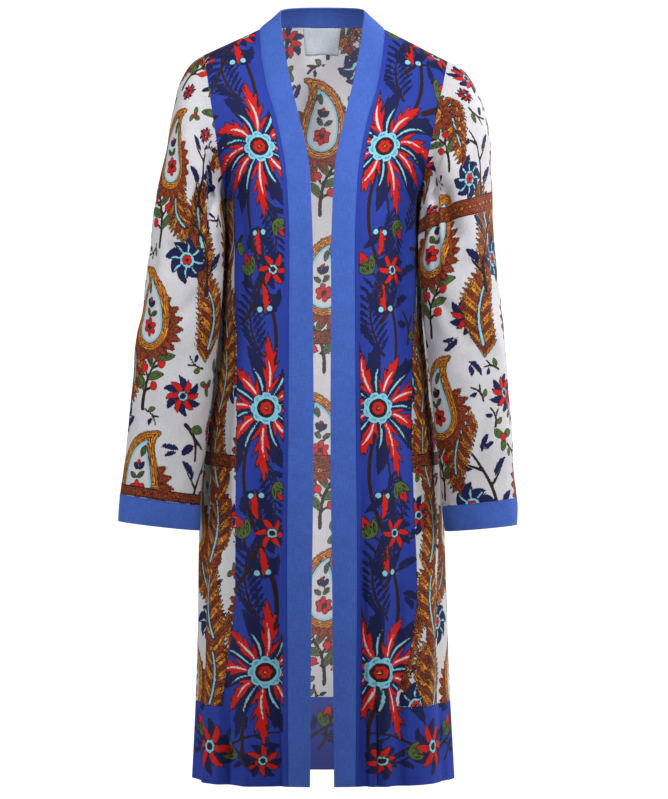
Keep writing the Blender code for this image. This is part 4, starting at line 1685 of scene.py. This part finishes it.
DARK_BROWN: Colour = (0.026, 0.012, 0.011, 1.0)
NAVY: Colour = (0.009, 0.012, 0.062, 1.0)
LEAF_GREEN: Colour = (0.072, 0.13, 0.032, 1.0)
OCHRE: Colour = (0.43, 0.132, 0.012, 1.0)
BRIGHT_OCHRE: Colour = (0.7, 0.32, 0.032, 1.0)
RUST: Colour = (0.27, 0.044, 0.009, 1.0)
FLOWER_RED: Colour = (0.52, 0.012, 0.01, 1.0)
TURQUOISE: Colour = (0.215, 0.52, 0.64, 1.0)
UNDYED: Colour = (0.54, 0.534, 0.558, 1.0)
EVEN = (1.0, 1.0, 1.0)


@dataclass(frozen=True)
class InkStyle:
    """How an ink is drawn: its colour, the lines that follow its edge inside, and its own edge.

    The first line lies that far inside the edge and the others a pitch apart. With a pitch of 0 they
    become one patch that fills the middle. Light is the colour of its paler streaks.
    """

    colour: Colour
    line: Colour
    first: float = 0.0026
    pitch: float = 0.005
    width: float = 0.0009
    ragged: float = 0.002
    outline: float = 0.0011
    light: Colour | None = None


INKS: Mapping[Ink, InkStyle] = {
    Ink.BROWN: InkStyle(DARK_BROWN, DARK_BROWN, outline=0.0),
    Ink.NAVY: InkStyle(NAVY, (0.18, 0.48, 0.6, 1.0), 0.012, 0.0, 0.0008, 0.0044, 0.0),
    Ink.GREEN: InkStyle(LEAF_GREEN, (0.018, 0.03, 0.014, 1.0), pitch=0.02, width=0.001),
    Ink.OCHRE: InkStyle(
        OCHRE, (0.055, 0.016, 0.008, 1.0), 0.0014, 0.0032, 0.0013, 0.0055, light=BRIGHT_OCHRE
    ),
    Ink.RUST: InkStyle(RUST, (0.04, 0.012, 0.008, 1.0), 0.0016, 0.0032, 0.0013, 0.0055),
    Ink.RED: InkStyle(FLOWER_RED, (0.4, 0.56, 0.61, 1.0), 0.0062, 0.0, 0.0008, 0.0034),
    Ink.TURQUOISE: InkStyle(TURQUOISE, (0.06, 0.24, 0.38, 1.0), 0.0034, 0.02, 0.0008),
    Ink.PALE: InkStyle(UNDYED, UNDYED, outline=0.0),
}


@dataclass(frozen=True)
class PrintedCotton:
    """Matt printed cotton: its two ground colours and the line round most inks."""

    ivory: Colour = (0.552, 0.542, 0.566, 1.0)
    cobalt: Colour = (0.02, 0.043, 0.3, 1.0)
    outline: Colour = (0.022, 0.012, 0.016, 1.0)
    edge: float = 0.00025

    def drawn(self, nodes: Nodes, under: Value, style: InkStyle, inside: Value, streaks: Value) -> Value:
        """Draws one ink over the colours under it.

        Args:
            nodes: The material's nodes.
            under: The colours under it.
            style: How it is drawn.
            inside: How far inside the ink each point is.
            streaks: Noise that breaks its lines up.

        Returns:
            The colours with the ink on them.
        """
        colour = under
        if style.outline > 0.0:
            rim = nodes.step(inside, -style.outline - self.edge, -style.outline + self.edge)
            colour = nodes.blend(rim, colour, self.outline)
        line = nodes.step(inside, style.first - style.width, style.first - style.width / 2)
        if style.pitch > 0.0:
            wave = nodes.maths("PINGPONG", inside - style.first, style.pitch / 2)
            line = line * nodes.step(wave, style.width / 2 + self.edge, style.width / 2 - self.edge)
        line = line * nodes.step(streaks, 0.34, 0.46)
        body: object = style.colour
        if style.light is not None:
            body = nodes.blend(nodes.step(streaks, 0.5, 0.58), style.colour, style.light)
        shade = nodes.blend(line, body, style.line)
        return nodes.blend(nodes.step(inside, -self.edge, self.edge), colour, shade)

    def material(self, name: str, faded: float) -> Material:
        """Makes the material of one side of the cloth.

        Args:
            name: Its name.
            faded: 0 for the right side, up to 1 for a wrong side with no print left.

        Returns:
            The material.
        """
        nodes = Nodes(bpy.data.materials.new(name))
        place = nodes.place(EVEN)
        flat = nodes.place(EVEN, flat=True)
        wander = nodes.noise(flat, 270.0, 2.0) - 0.5
        fields = nodes.attribute("print_low") + nodes.attribute("print_mid") + nodes.attribute("print_high")
        patchy = nodes.noise(place, 22.0, 3.0)
        fine = nodes.noise(place, 420.0, 2.0)
        streaks = nodes.noise(flat, 150.0, 2.0)
        colour = nodes.blend(nodes.step(fields[0], -self.edge, self.edge), self.ivory, self.cobalt)
        for ink, style in INKS.items():
            inside = fields[ink.value] + wander * style.ragged
            colour = self.drawn(nodes, colour, style, inside, streaks)
        colour = nodes.scaled(colour, nodes.step(patchy, 0.3, 0.7, 0.94, 1.03))
        colour = nodes.scaled(colour, nodes.step(fine, 0.25, 0.75, 0.93, 1.04))
        if faded > 0.0:
            colour = nodes.blend(faded, colour, self.ivory)
        crepe = nodes.bump(nodes.noise(flat, 1500.0, 1.0), 0.0002, 0.55)
        drawn_out = nodes.place((0.35, 1.0, 1.0), flat=True)
        thread = nodes.bump(nodes.noise(drawn_out, 620.0, 2.0), 0.0003, 0.35, crepe)
        slack = nodes.bump(nodes.noise(nodes.place((1.0, 1.0, 0.4)), 46.0, 3.0), 0.0016, 0.45, thread)
        hemmed = nodes.bump(nodes.stitched(nodes.parts(flat)[1], 0.009), 0.0006, 0.6, slack)
        roughness = nodes.step(fine, 0.2, 0.8, 0.66, 0.8)
        return nodes.finish(colour, roughness, hemmed, 0.02)


@dataclass(frozen=True)
class PlainCloth:
    """Plain woven cloth of one colour."""

    colour: Colour
    slub: float
    roughness: float
    sheen: float
    threads: float = 1300.0
    drawn_out: float = 0.06

    def material(self, name: str) -> Material:
        """Makes the material of both sides.

        Args:
            name: Its name.

        Returns:
            The material.
        """
        nodes = Nodes(bpy.data.materials.new(name))
        warp = nodes.noise(nodes.place((1.0, self.drawn_out, 1.0), flat=True), self.threads, 1.0)
        weft = nodes.noise(nodes.place((self.drawn_out, 1.0, 1.0), flat=True), self.threads, 1.0)
        patchy = nodes.noise(nodes.place(EVEN), 26.0, 3.0)
        colour = nodes.scaled(self.colour, nodes.step(warp, 0.3, 0.7, 1.0 - self.slub, 1.0 + self.slub))
        colour = nodes.scaled(colour, nodes.step(weft, 0.3, 0.7, 1.0 - self.slub, 1.0 + self.slub * 0.6))
        colour = nodes.scaled(colour, nodes.step(patchy, 0.3, 0.7, 0.95, 1.04))
        weave = nodes.bump(warp + weft, 0.00018, 0.6)
        slack = nodes.bump(nodes.noise(nodes.place((1.0, 1.0, 0.35)), 60.0, 3.0), 0.001, 0.4, weave)
        beside, along, _ = nodes.parts(nodes.place(EVEN, flat=True))
        edges = nodes.maths("MINIMUM", nodes.stitched(beside, 0.0022), nodes.stitched(along, 0.0028))
        sewn = nodes.bump(edges, 0.0006, 0.6, slack)
        roughness = nodes.step(patchy, 0.2, 0.8, self.roughness - 0.04, self.roughness + 0.04)
        return nodes.finish(colour, roughness, sewn, self.sheen)


BAND_BLUE = PlainCloth((0.052, 0.116, 0.44, 1.0), 0.1, 0.8, 0.03)
LABEL_TAPE = PlainCloth((0.42, 0.46, 0.5, 1.0), 0.08, 0.85, 0.05)


# The pieces of the robe


@dataclass
class Wardrobe:
    """The materials that the pieces share."""

    printed: Material
    printed_inside: Material
    blue: Material
    tape: Material


def hang(piece: Object, cloth: Cloth, node: str) -> None:
    """Hangs a piece of cloth on the root in place of its CAD node, and logs its size.

    Args:
        piece: The finished piece.
        cloth: Its flat cloth.
        node: The CAD node that it stands for.
    """
    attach(piece, "root")
    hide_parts(node)
    area = min(cloth.area, cloth.flat[0] * cloth.flat[1])
    LOG.info("%s: %d points, flat %.3f by %.3f m", piece.name, cloth.points[..., 0].size, *cloth.flat)


COBALT_EDGES: Mapping[Side, Table] = {
    R: ((-1.1, -0.93, -0.8, -0.55, -0.3, -0.2), (0.142, 0.138, 0.12, 0.116, 0.119, 0.122)),
    L: ((-1.1, -0.93, -0.87, -0.8, -0.55, -0.2), (0.1, 0.104, 0.122, 0.13, 0.124, 0.13)),
}


@dataclass
class BodyPanels:
    """The two fronts and the back."""

    body: Body
    drape: Drape
    front_grid: BodyGrid = BodyGrid(370, 108, 94, 14)
    back_grid: BodyGrid = BodyGrid(190, 64, 50, 28)
    border: BorderPrint = field(default_factory=BorderPrint)
    ground: FieldPrint = field(default_factory=FieldPrint)
    hem_top: float = -0.944
    swells: Table = ((0.042, 0.34, 7.3, 0.0034), (0.019, 0.16, 3.1, 0.0016))
    calm_above: float = -0.3
    calm_share: float = 0.3
    calm_length: float = 0.6
    sewn_edge: float = 0.014
    shoulder_edge: float = 0.03
    crease_edge: float = 0.008
    crease_share: float = 0.05
    back_swell: float = 1.2
    front_stroke: float = 0.0012
    back_stroke: float = 0.002
    front_shift: float = 0.037
    sprays_across: float = 0.12
    stripe_up: float = 0.445
    stripe_climb: float = 0.05
    stripe_gap: float = 0.18
    front_stripe: float = 0.007
    back_stripe: float = 0.008
    front_hem: tuple[float, float] = (0.118, 0.26)
    back_hem: tuple[float, float] = (-0.3, 0.32)
    back_hem_drop: float = 0.004
    shoulder_above: float = 0.004
    shoulder_growth: float = 2.0
    back: Cloth | None = None

    def small_folds(self, cloth: Cloth, seed: int) -> Array:
        """Works out the uneven hang of the cloth.

        Args:
            cloth: The piece.
            seed: A number that picks the pattern.

        Returns:
            How far each point is raised, with nothing along the sewn edges.
        """
        heights = np.zeros(cloth.up.shape)
        for number, (width, length, shift, height) in enumerate(self.swells):
            swell = even_noise(cloth.across / width + shift, cloth.up / length, seed + number)
            heights = heights + height * swell
        drop = ease((self.calm_above - cloth.points[:, :, 2]) / self.calm_length)
        heights = heights * (self.calm_share + (1.0 - self.calm_share) * drop)
        width = cloth.across[:, -1:]
        edge = ease(cloth.across / self.sewn_edge) * ease((width - cloth.across) / self.sewn_edge)
        return heights * edge * ease((cloth.up[-1] - cloth.up) / self.shoulder_edge)

    def front(self, side: Side, sleeve: SleeveShape) -> tuple[Cloth, Array]:
        """Makes a front panel.

        Args:
            side: Its side of the wearer.
            sleeve: The sleeve that is sewn to it.

        Returns:
            Its cloth and its print.
        """
        points = on_side(side, self.body.half_front(self.front_grid, sleeve))
        cloth = Cloth(f"robe_front_{side.name.lower()}", points, PRINTED_THICKNESS)
        places = np.broadcast_to(self.front_grid.shares(), cloth.up.shape)
        cloth.lift(self.drape.body_heights(side, places, points[:, :, 2]))
        edges = ease(cloth.across / self.crease_edge) * ease((1.0 - places) / self.crease_share)
        cloth.lift(self.drape.crease_heights(cloth.points, cloth.normals) * edges)
        cloth.lift(self.small_folds(cloth, 11 if side is Side.LEFT else 23))
        cloth.draw_back(("left", "right", "top"))
        sheet = PrintSheet(cloth.across, cloth.up, self.front_stroke)
        lean = side.value
        self.ground.cover(sheet, self.front_shift)
        self.ground.sprays(sheet, self.sprays_across, lean)
        self.ground.stripe(sheet, self.stripe_up + self.stripe_climb * cloth.across, self.front_stripe)
        heights = points[:, :, 2]
        bound = np.interp(heights, *COBALT_EDGES[side])
        cobalt = np.maximum(bound - np.abs(points[:, :, 0]), self.hem_top - heights)
        cobalt = np.maximum(cobalt, (heights - ARMPIT_Z - self.shoulder_above) * self.shoulder_growth)
        border = PrintSheet(cloth.across, cloth.up, self.front_stroke)
        self.border.hem(border, *self.front_hem)
        self.border.shoulder(border, lean)
        self.border.border(border, lean)
        self.border.fillers.fill(border, 9)
        bare = np.maximum(self.border.bare_hem - cloth.up, self.border.bare_edge - cloth.across)
        border.wipe(bare)
        return cloth, self.joined(sheet, border, cobalt)

    def joined(self, sheet: PrintSheet, border: PrintSheet, cobalt: Array) -> Array:
        """Joins the two prints of a panel.

        Args:
            sheet: The print of the ivory cloth.
            border: The print of the cobalt cloth.
            cobalt: How far inside the cobalt cloth each point is.

        Returns:
            How far inside each ink every point is.
        """
        sheet.wipe(cobalt)
        fields = np.maximum(sheet.fields, np.minimum(border.fields, cobalt))
        fields[Ink.COBALT.value] = cobalt
        return fields

    def back_panel(self) -> tuple[Cloth, Array]:
        """Makes the back.

        Returns:
            Its cloth and its print.
        """
        right, left = (
            on_side(side, self.body.half_back(self.back_grid, sleeve)) for side, sleeve in SLEEVES.items()
        )
        cloth = Cloth("robe_back", np.concatenate([right[:, :0:-1], left], axis=1), PRINTED_THICKNESS)
        shares = self.body.back_shares(self.back_grid)
        places = 2.0 - np.concatenate([shares[:0:-1], shares])
        places = np.broadcast_to(places, cloth.up.shape)
        levels = cloth.points[:, :, 2]
        heights = np.where(
            np.arange(places.shape[1]) < len(shares) - 1,
            self.drape.body_heights(Side.RIGHT, places, levels),
            self.drape.body_heights(Side.LEFT, places, levels),
        )
        cloth.lift(heights)
        cloth.lift(self.small_folds(cloth, 37) * self.back_swell)
        cloth.draw_back(("left", "right", "top"))
        self.back = cloth
        across = cloth.across - cloth.across[:, -1:] / 2
        sheet = PrintSheet(across, cloth.up, self.back_stroke)
        self.ground.cover(sheet, 0.0)
        self.ground.stripe(sheet, self.stripe_up, self.back_stripe)
        self.ground.stripe(sheet, self.stripe_up + self.stripe_gap, self.back_stripe)
        border = PrintSheet(across, cloth.up, self.back_stroke)
        self.border.hem(border, *self.back_hem)
        self.border.fillers.fill(border, 13)
        border.wipe(self.border.bare_hem - cloth.up)
        return cloth, self.joined(sheet, border, self.hem_top - self.back_hem_drop - levels)

    def build(self, wardrobe: Wardrobe) -> None:
        """Makes the three panels.

        Args:
            wardrobe: The materials.
        """
        for side, sleeve in SLEEVES.items():
            cloth, fields = self.front(side, sleeve)
            piece = cloth.make(wardrobe.printed, wardrobe.printed_inside, fields)
            hang(piece, cloth, f"front_{side.name.lower()}")
        cloth, fields = self.back_panel()
        piece = cloth.make(wardrobe.printed, wardrobe.printed_inside, fields)
        hang(piece, cloth, "back")


@dataclass
class Sleeves:
    """The two sleeves and their cuffs."""

    drape: Drape
    rows: int = 230
    columns: int = 168
    cuff_rows: int = 18
    edge: float = 0.0014
    cuff_edge: float = 0.03
    least_stroke: float = 0.0014
    bare_seam: float = 0.003
    wrinkles_round: float = 8.0
    wrinkle_length: float = 0.06
    lean_length: float = 0.11
    elbow: float = 0.36
    elbow_spread: float = 0.13
    cross_length: float = 0.05
    wide_height: float = 0.0018
    wide_elbow: float = 0.002
    narrow_height: float = 0.0007
    narrow_elbow: float = 0.0008
    crease_edge: float = 0.02
    calm_seam: float = 0.5
    calm_end: float = 0.03
    cuff_belly: float = 0.0006
    cuff_ripple: float = 0.0007
    ground: FieldPrint = field(default_factory=FieldPrint)

    def turns(self) -> Array:
        """The angle of each column, in radians."""
        return np.arange(self.columns) * 2 * math.pi / self.columns

    def tube(self, side: Side, word: str, rings: Iterable[Sequence[float]], thickness: float) -> Cloth:
        """A tube of cloth through rings, still without folds."""
        points = np.array([SleeveShape.ring(ring, self.turns()) for ring in rings])
        return Cloth(f"robe_{word}_{side.name.lower()}", on_side(side, points), thickness, tube=True)

    def sleeve(self, side: Side, shape: SleeveShape) -> tuple[Cloth, Array]:
        """Makes a sleeve.

        Args:
            side: Its side of the wearer.
            shape: Its rings.

        Returns:
            Its cloth and its print.
        """
        sections, along = shape.sections(edged(self.rows, self.edge))
        cloth = self.tube(side, "sleeve", sections, PRINTED_THICKNESS)
        turns, downs = np.meshgrid(self.turns(), along)
        cloth.lift(self.drape.sleeve_heights(side, turns, downs, along[-1]))
        creases = self.drape.crease_heights(cloth.points, cloth.normals) * ease(downs / self.crease_edge)
        cloth.lift(creases + self.wrinkles(side, turns, downs, along[-1]))
        cloth.draw_back(("bottom", "top"))
        width = cloth.across[:, -1:]
        across = cloth.across[:, :-1]
        sheet = PrintSheet(across - width / 2, cloth.up[-1] - cloth.up, self.least_stroke)
        self.ground.cover(sheet, 0.03 if side is Side.LEFT else -0.045)
        if side is Side.RIGHT:
            self.ground.stripe(sheet, 0.008, 0.005)
        else:
            self.ground.stripe(sheet, 0.42 + 0.12 * sheet.across, 0.01)
        sheet.wipe(self.bare_seam - np.minimum(across, width - across))
        return cloth, sheet.fields

    def wrinkles(self, side: Side, turns: Array, along: Array, length: float) -> Array:
        """Works out the uneven wrinkles round the elbow and above the cuff.

        Args:
            side: The side of the sleeve.
            turns: The angle of each point round it, in radians.
            along: The distance of each point down it.
            length: The sleeve's length.

        Returns:
            How far each point is raised.
        """
        across = turns / (2 * math.pi) * self.wrinkles_round
        leaning = (across + along / self.lean_length) % NOISE_CELLS
        crossing = (across * 2 - along / self.cross_length) % NOISE_CELLS
        seed = 51 if side is Side.LEFT else 67
        wide = even_noise(leaning, along / self.wrinkle_length, seed)
        narrow = even_noise(crossing, along * 2 / self.wrinkle_length, seed + 1)
        elbow = np.exp(-(((along - self.elbow) / self.elbow_spread) ** 2))
        wide = (self.wide_height + self.wide_elbow * elbow) * wide
        narrow = (self.narrow_height + self.narrow_elbow * elbow) * narrow
        seam = ease((np.pi - np.abs(turns - np.pi)) / self.calm_seam)
        return (wide + narrow) * seam * ease(along / self.calm_end) * ease((length - along) / self.calm_end)

    def cuff(self, side: Side, shape: SleeveShape) -> Cloth:
        """Makes a cuff.

        Args:
            side: Its side of the wearer.
            shape: The rings of its sleeve.

        Returns:
            Its cloth.
        """
        shares = edged(self.cuff_rows, self.cuff_edge)
        start, end = np.array(shape.rings[-1]), np.array(shape.cuff_end)
        rings = [start * (1 - share) + end * share for share in shares]
        cloth = self.tube(side, "cuff", rings, FOLDED_THICKNESS)
        belly = self.cuff_belly * np.sin(np.pi * shares)[:, None]
        turns = np.broadcast_to(self.turns() * 3.0, cloth.up.shape)
        ripple = self.cuff_ripple * even_noise(turns, cloth.up / 0.05, 71 + side.value)
        cloth.lift(belly + ripple * ease(shares / 0.3)[:, None])
        cloth.draw_back(("bottom",))
        return cloth

    def build(self, wardrobe: Wardrobe) -> None:
        """Makes the sleeves and the cuffs.

        Args:
            wardrobe: The materials.
        """
        for side, shape in SLEEVES.items():
            word = side.name.lower()
            cloth, fields = self.sleeve(side, shape)
            piece = cloth.make(wardrobe.printed, wardrobe.printed_inside, fields)
            hang(piece, cloth, f"sleeve_{word}")
            cuff = self.cuff(side, shape)
            piece = cuff.make(wardrobe.blue, wardrobe.blue)
            hang(piece, cuff, f"cuff_{word}")


@dataclass
class NeckBand:
    """The band from hem to hem round the back of the neck."""

    band: Band
    grid: BodyGrid = BodyGrid(300, 110, 10, 60)
    columns: int = 12
    edge: float = 0.025
    crown: float = 0.0009
    ripple: float = 0.0006
    edge_wave: float = 0.0007

    def build(self, wardrobe: Wardrobe) -> None:
        """Makes the band.

        Args:
            wardrobe: The materials.
        """
        seam, free = self.band.edges(np.concatenate(self.band.stations(self.grid)))
        even = edged(self.columns, self.edge)
        shares = even[None, :, None]
        half = seam[:, None] * (1 - shares) + free[:, None] * shares
        points = np.concatenate([half, half[-2::-1] * MIRROR])
        cloth = Cloth("robe_band", points, FOLDED_THICKNESS)
        cloth.up = np.repeat(cloth.up.mean(axis=1, keepdims=True), cloth.up.shape[1], axis=1)
        front, inner = slice(200, 220), np.array([0.0, 0.0, -0.02])
        if np.sum(cloth.normals[front] * (cloth.points[front] - inner)) < 0:
            cloth.normals = -cloth.normals
        puff = self.crown * (1 - (2 * even - 1) ** 4)
        ripple = self.ripple * even_noise(cloth.across / 0.02, cloth.up / 0.045, 83)
        edge = self.edge_wave * even_noise(np.zeros_like(cloth.up), cloth.up / 0.12, 89) * ease(even)
        heights = puff + ripple * ease(even / 0.2) + edge
        cloth.points = cloth.points + cloth.normals * heights[:, :, None]
        cloth.draw_back(("left",))
        piece = cloth.make(wardrobe.blue, wardrobe.blue)
        hang(piece, cloth, "neck_band")


@dataclass
class NeckLabel:
    """A blank woven label inside the nape.

    Its sizes count the rows down from the nape and the columns out from the centre of the part's own
    back, which has 10 rows above the armpit and 19 columns to a side.
    """

    half_columns: float = 1.55
    low: float = 1.45
    high: float = 0.04
    back_rows: float = 10.0
    back_columns: float = 19.0
    points_down: int = 15
    points_across: int = 25

    def build(self, panels: BodyPanels, wardrobe: Wardrobe) -> None:
        """Makes the label from the back's own points, moved inwards.

        Args:
            panels: The panels, with the back made already.
            wardrobe: The materials.
        """
        back = panels.back
        grid = panels.back_grid
        climbs = np.concatenate([[0.0], grid.climbs()])
        first = back.points.shape[0] - len(climbs)
        down = 1.0 - np.linspace(self.low, self.high, self.points_down) / self.back_rows
        rows = first + np.interp(down, climbs, np.arange(len(climbs)))
        shares = panels.body.back_shares(grid)
        steps = np.linspace(-self.half_columns, self.half_columns, self.points_across)
        out = np.interp(np.abs(steps) / self.back_columns, shares, np.arange(len(shares)))
        columns = len(shares) - 1 + np.sign(steps) * out

        def read(values: Array) -> Array:
            """Values of the back's grid between its points."""
            low_row = np.minimum(np.floor(rows).astype(int), values.shape[0] - 2)
            low_column = np.floor(columns).astype(int)
            down = (rows - low_row)[:, None, None]
            along = (columns - low_column)[None, :, None]
            between = values[low_row] * (1 - down) + values[low_row + 1] * down
            return between[:, low_column] * (1 - along) + between[:, low_column + 1] * along

        inset = (PRINTED_THICKNESS + LABEL_THICKNESS) / 2 + LABEL_GAP
        points = read(back.points) - unit(read(back.normals)) * inset
        cloth = Cloth("robe_label", points, LABEL_THICKNESS)
        piece = cloth.make(wardrobe.tape, wardrobe.tape)
        hang(piece, cloth, "neck_label")


# The studio


@dataclass(frozen=True)
class SoftLight:
    """A soft light: its place and aim, its width and height, its power in watts, its spread in degrees."""

    name: str
    spot: Point
    aim: Point
    size: tuple[float, float]
    power: float
    spread: float = 180.0

    def hang(self) -> None:
        """Hangs the light."""
        data = bpy.data.lights.new(self.name, "AREA")
        data.shape = "RECTANGLE"
        data.size, data.size_y = self.size
        data.energy = self.power
        data.spread = math.radians(self.spread)
        made = bpy.data.objects.new(self.name, data)
        made.location = self.spot
        made.rotation_euler = (Vector(self.aim) - Vector(self.spot)).to_track_quat("-Z", "Y").to_euler()
        made.visible_camera = False
        bpy.context.scene.collection.objects.link(made)


@dataclass(frozen=True)
class Studio:
    """A pale floor, soft lights and the camera."""

    floor_z: float = -1.55
    floor_radius: float = 1.6
    camera_distance: float = 5.0
    camera_z: float = -0.518
    lens: float = 159.3
    shift_x: float = 0.015
    front_sky: float = 0.03
    back_sky: float = 1.1
    top_sky: float = 0.17
    lights: tuple[SoftLight, ...] = (
        SoftLight("light_high", (-0.9, -2.0, 1.25), (0.0, 0.0, -0.12), (0.5, 0.5), 3.0, 46.0),
        SoftLight("light_side", (1.3, -1.9, 1.0), (0.0, 0.0, -0.25), (0.5, 0.5), 4.0, 50.0),
        SoftLight("light_low_right", (-1.5, -0.3, -0.72), (0.0, 0.0, -0.72), (0.25, 1.1), 9.0),
        SoftLight("light_low_left", (1.5, -0.3, -0.72), (0.0, 0.0, -0.72), (0.25, 1.1), 9.0),
        SoftLight("light_back", (2.1, 1.6, 0.9), (0.0, 0.0, -0.45), (0.4, 0.4), 8.0, 60.0),
        SoftLight("light_inside", (0.0, -0.08, -0.54), (0.0, 0.1, -0.54), (0.1, 0.86), 1.1),
    )

    def floor(self) -> None:
        """Lays the floor."""
        shape = bmesh.new()
        bmesh.ops.create_circle(shape, cap_ends=True, segments=96, radius=self.floor_radius)
        bmesh.ops.translate(shape, verts=shape.verts, vec=(0.0, 0.0, self.floor_z))
        data = bpy.data.meshes.new("studio_floor")
        shape.to_mesh(data)
        shape.free()
        nodes = Nodes(bpy.data.materials.new("studio_floor"))
        nodes.shader.inputs["Base Color"].default_value = (0.8, 0.8, 0.8, 1.0)
        nodes.shader.inputs["Roughness"].default_value = 0.9
        data.materials.append(nodes.owner)
        made = bpy.data.objects.new("studio_floor", data)
        bpy.context.scene.collection.objects.link(made)
        made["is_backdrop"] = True

    def camera(self) -> None:
        """Sets up the level camera in front of the robe."""
        data = bpy.data.cameras.new("camera")
        data.sensor_fit = "VERTICAL"
        data.sensor_height = 36.0
        data.lens = self.lens
        data.shift_x = self.shift_x
        data.clip_end = 50.0
        made = bpy.data.objects.new("camera", data)
        made.location = (0.0, -self.camera_distance, self.camera_z)
        made.rotation_euler = (math.radians(90.0), 0.0, 0.0)
        bpy.context.scene.collection.objects.link(made)
        bpy.context.scene.camera = made

    def sky(self) -> None:
        """Surrounds the studio with soft white, brightest behind the robe and overhead."""
        world = bpy.data.worlds.new("studio")
        nodes = Nodes(world, "Background")
        _, depth, height = nodes.parts(nodes.node("ShaderNodeTexCoord", None, None, "Generated"))
        behind = nodes.step(depth, 0.9, 0.975, self.front_sky, self.back_sky, even=True)
        above = nodes.step(height, -0.6, 0.8, 0.0, self.top_sky, even=True)
        nodes.shader.inputs["Color"].default_value = (1.0, 1.0, 1.0, 1.0)
        nodes.tree.links.new((behind + above).socket, nodes.shader.inputs["Strength"])
        bpy.context.scene.world = world

    def build(self) -> None:
        """Sets up the whole studio."""
        bpy.context.scene.view_settings.view_transform = "Standard"
        self.sky()
        self.floor()
        for light in self.lights:
            light.hang()
        self.camera()


def main() -> None:
    """Builds the robe and the studio."""
    logging.basicConfig(level=logging.INFO, format="%(message)s")
    cotton = PrintedCotton()
    wardrobe = Wardrobe(
        cotton.material("printed cotton", 0.0),
        cotton.material("printed cotton, wrong side", 0.08),
        BAND_BLUE.material("band blue"),
        LABEL_TAPE.material("label tape"),
    )
    body = Body()
    drape = Drape()
    panels = BodyPanels(body, drape)
    panels.build(wardrobe)
    Sleeves(drape).build(wardrobe)
    NeckBand(body.band).build(wardrobe)
    NeckLabel().build(panels, wardrobe)
    Studio().build()
    boxes = {"cad": CAD_BOX, "visual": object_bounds()}
    boxes = {name: [list(corner) for corner in box] for name, box in boxes.items()}


if __name__ == "__main__":
    main()
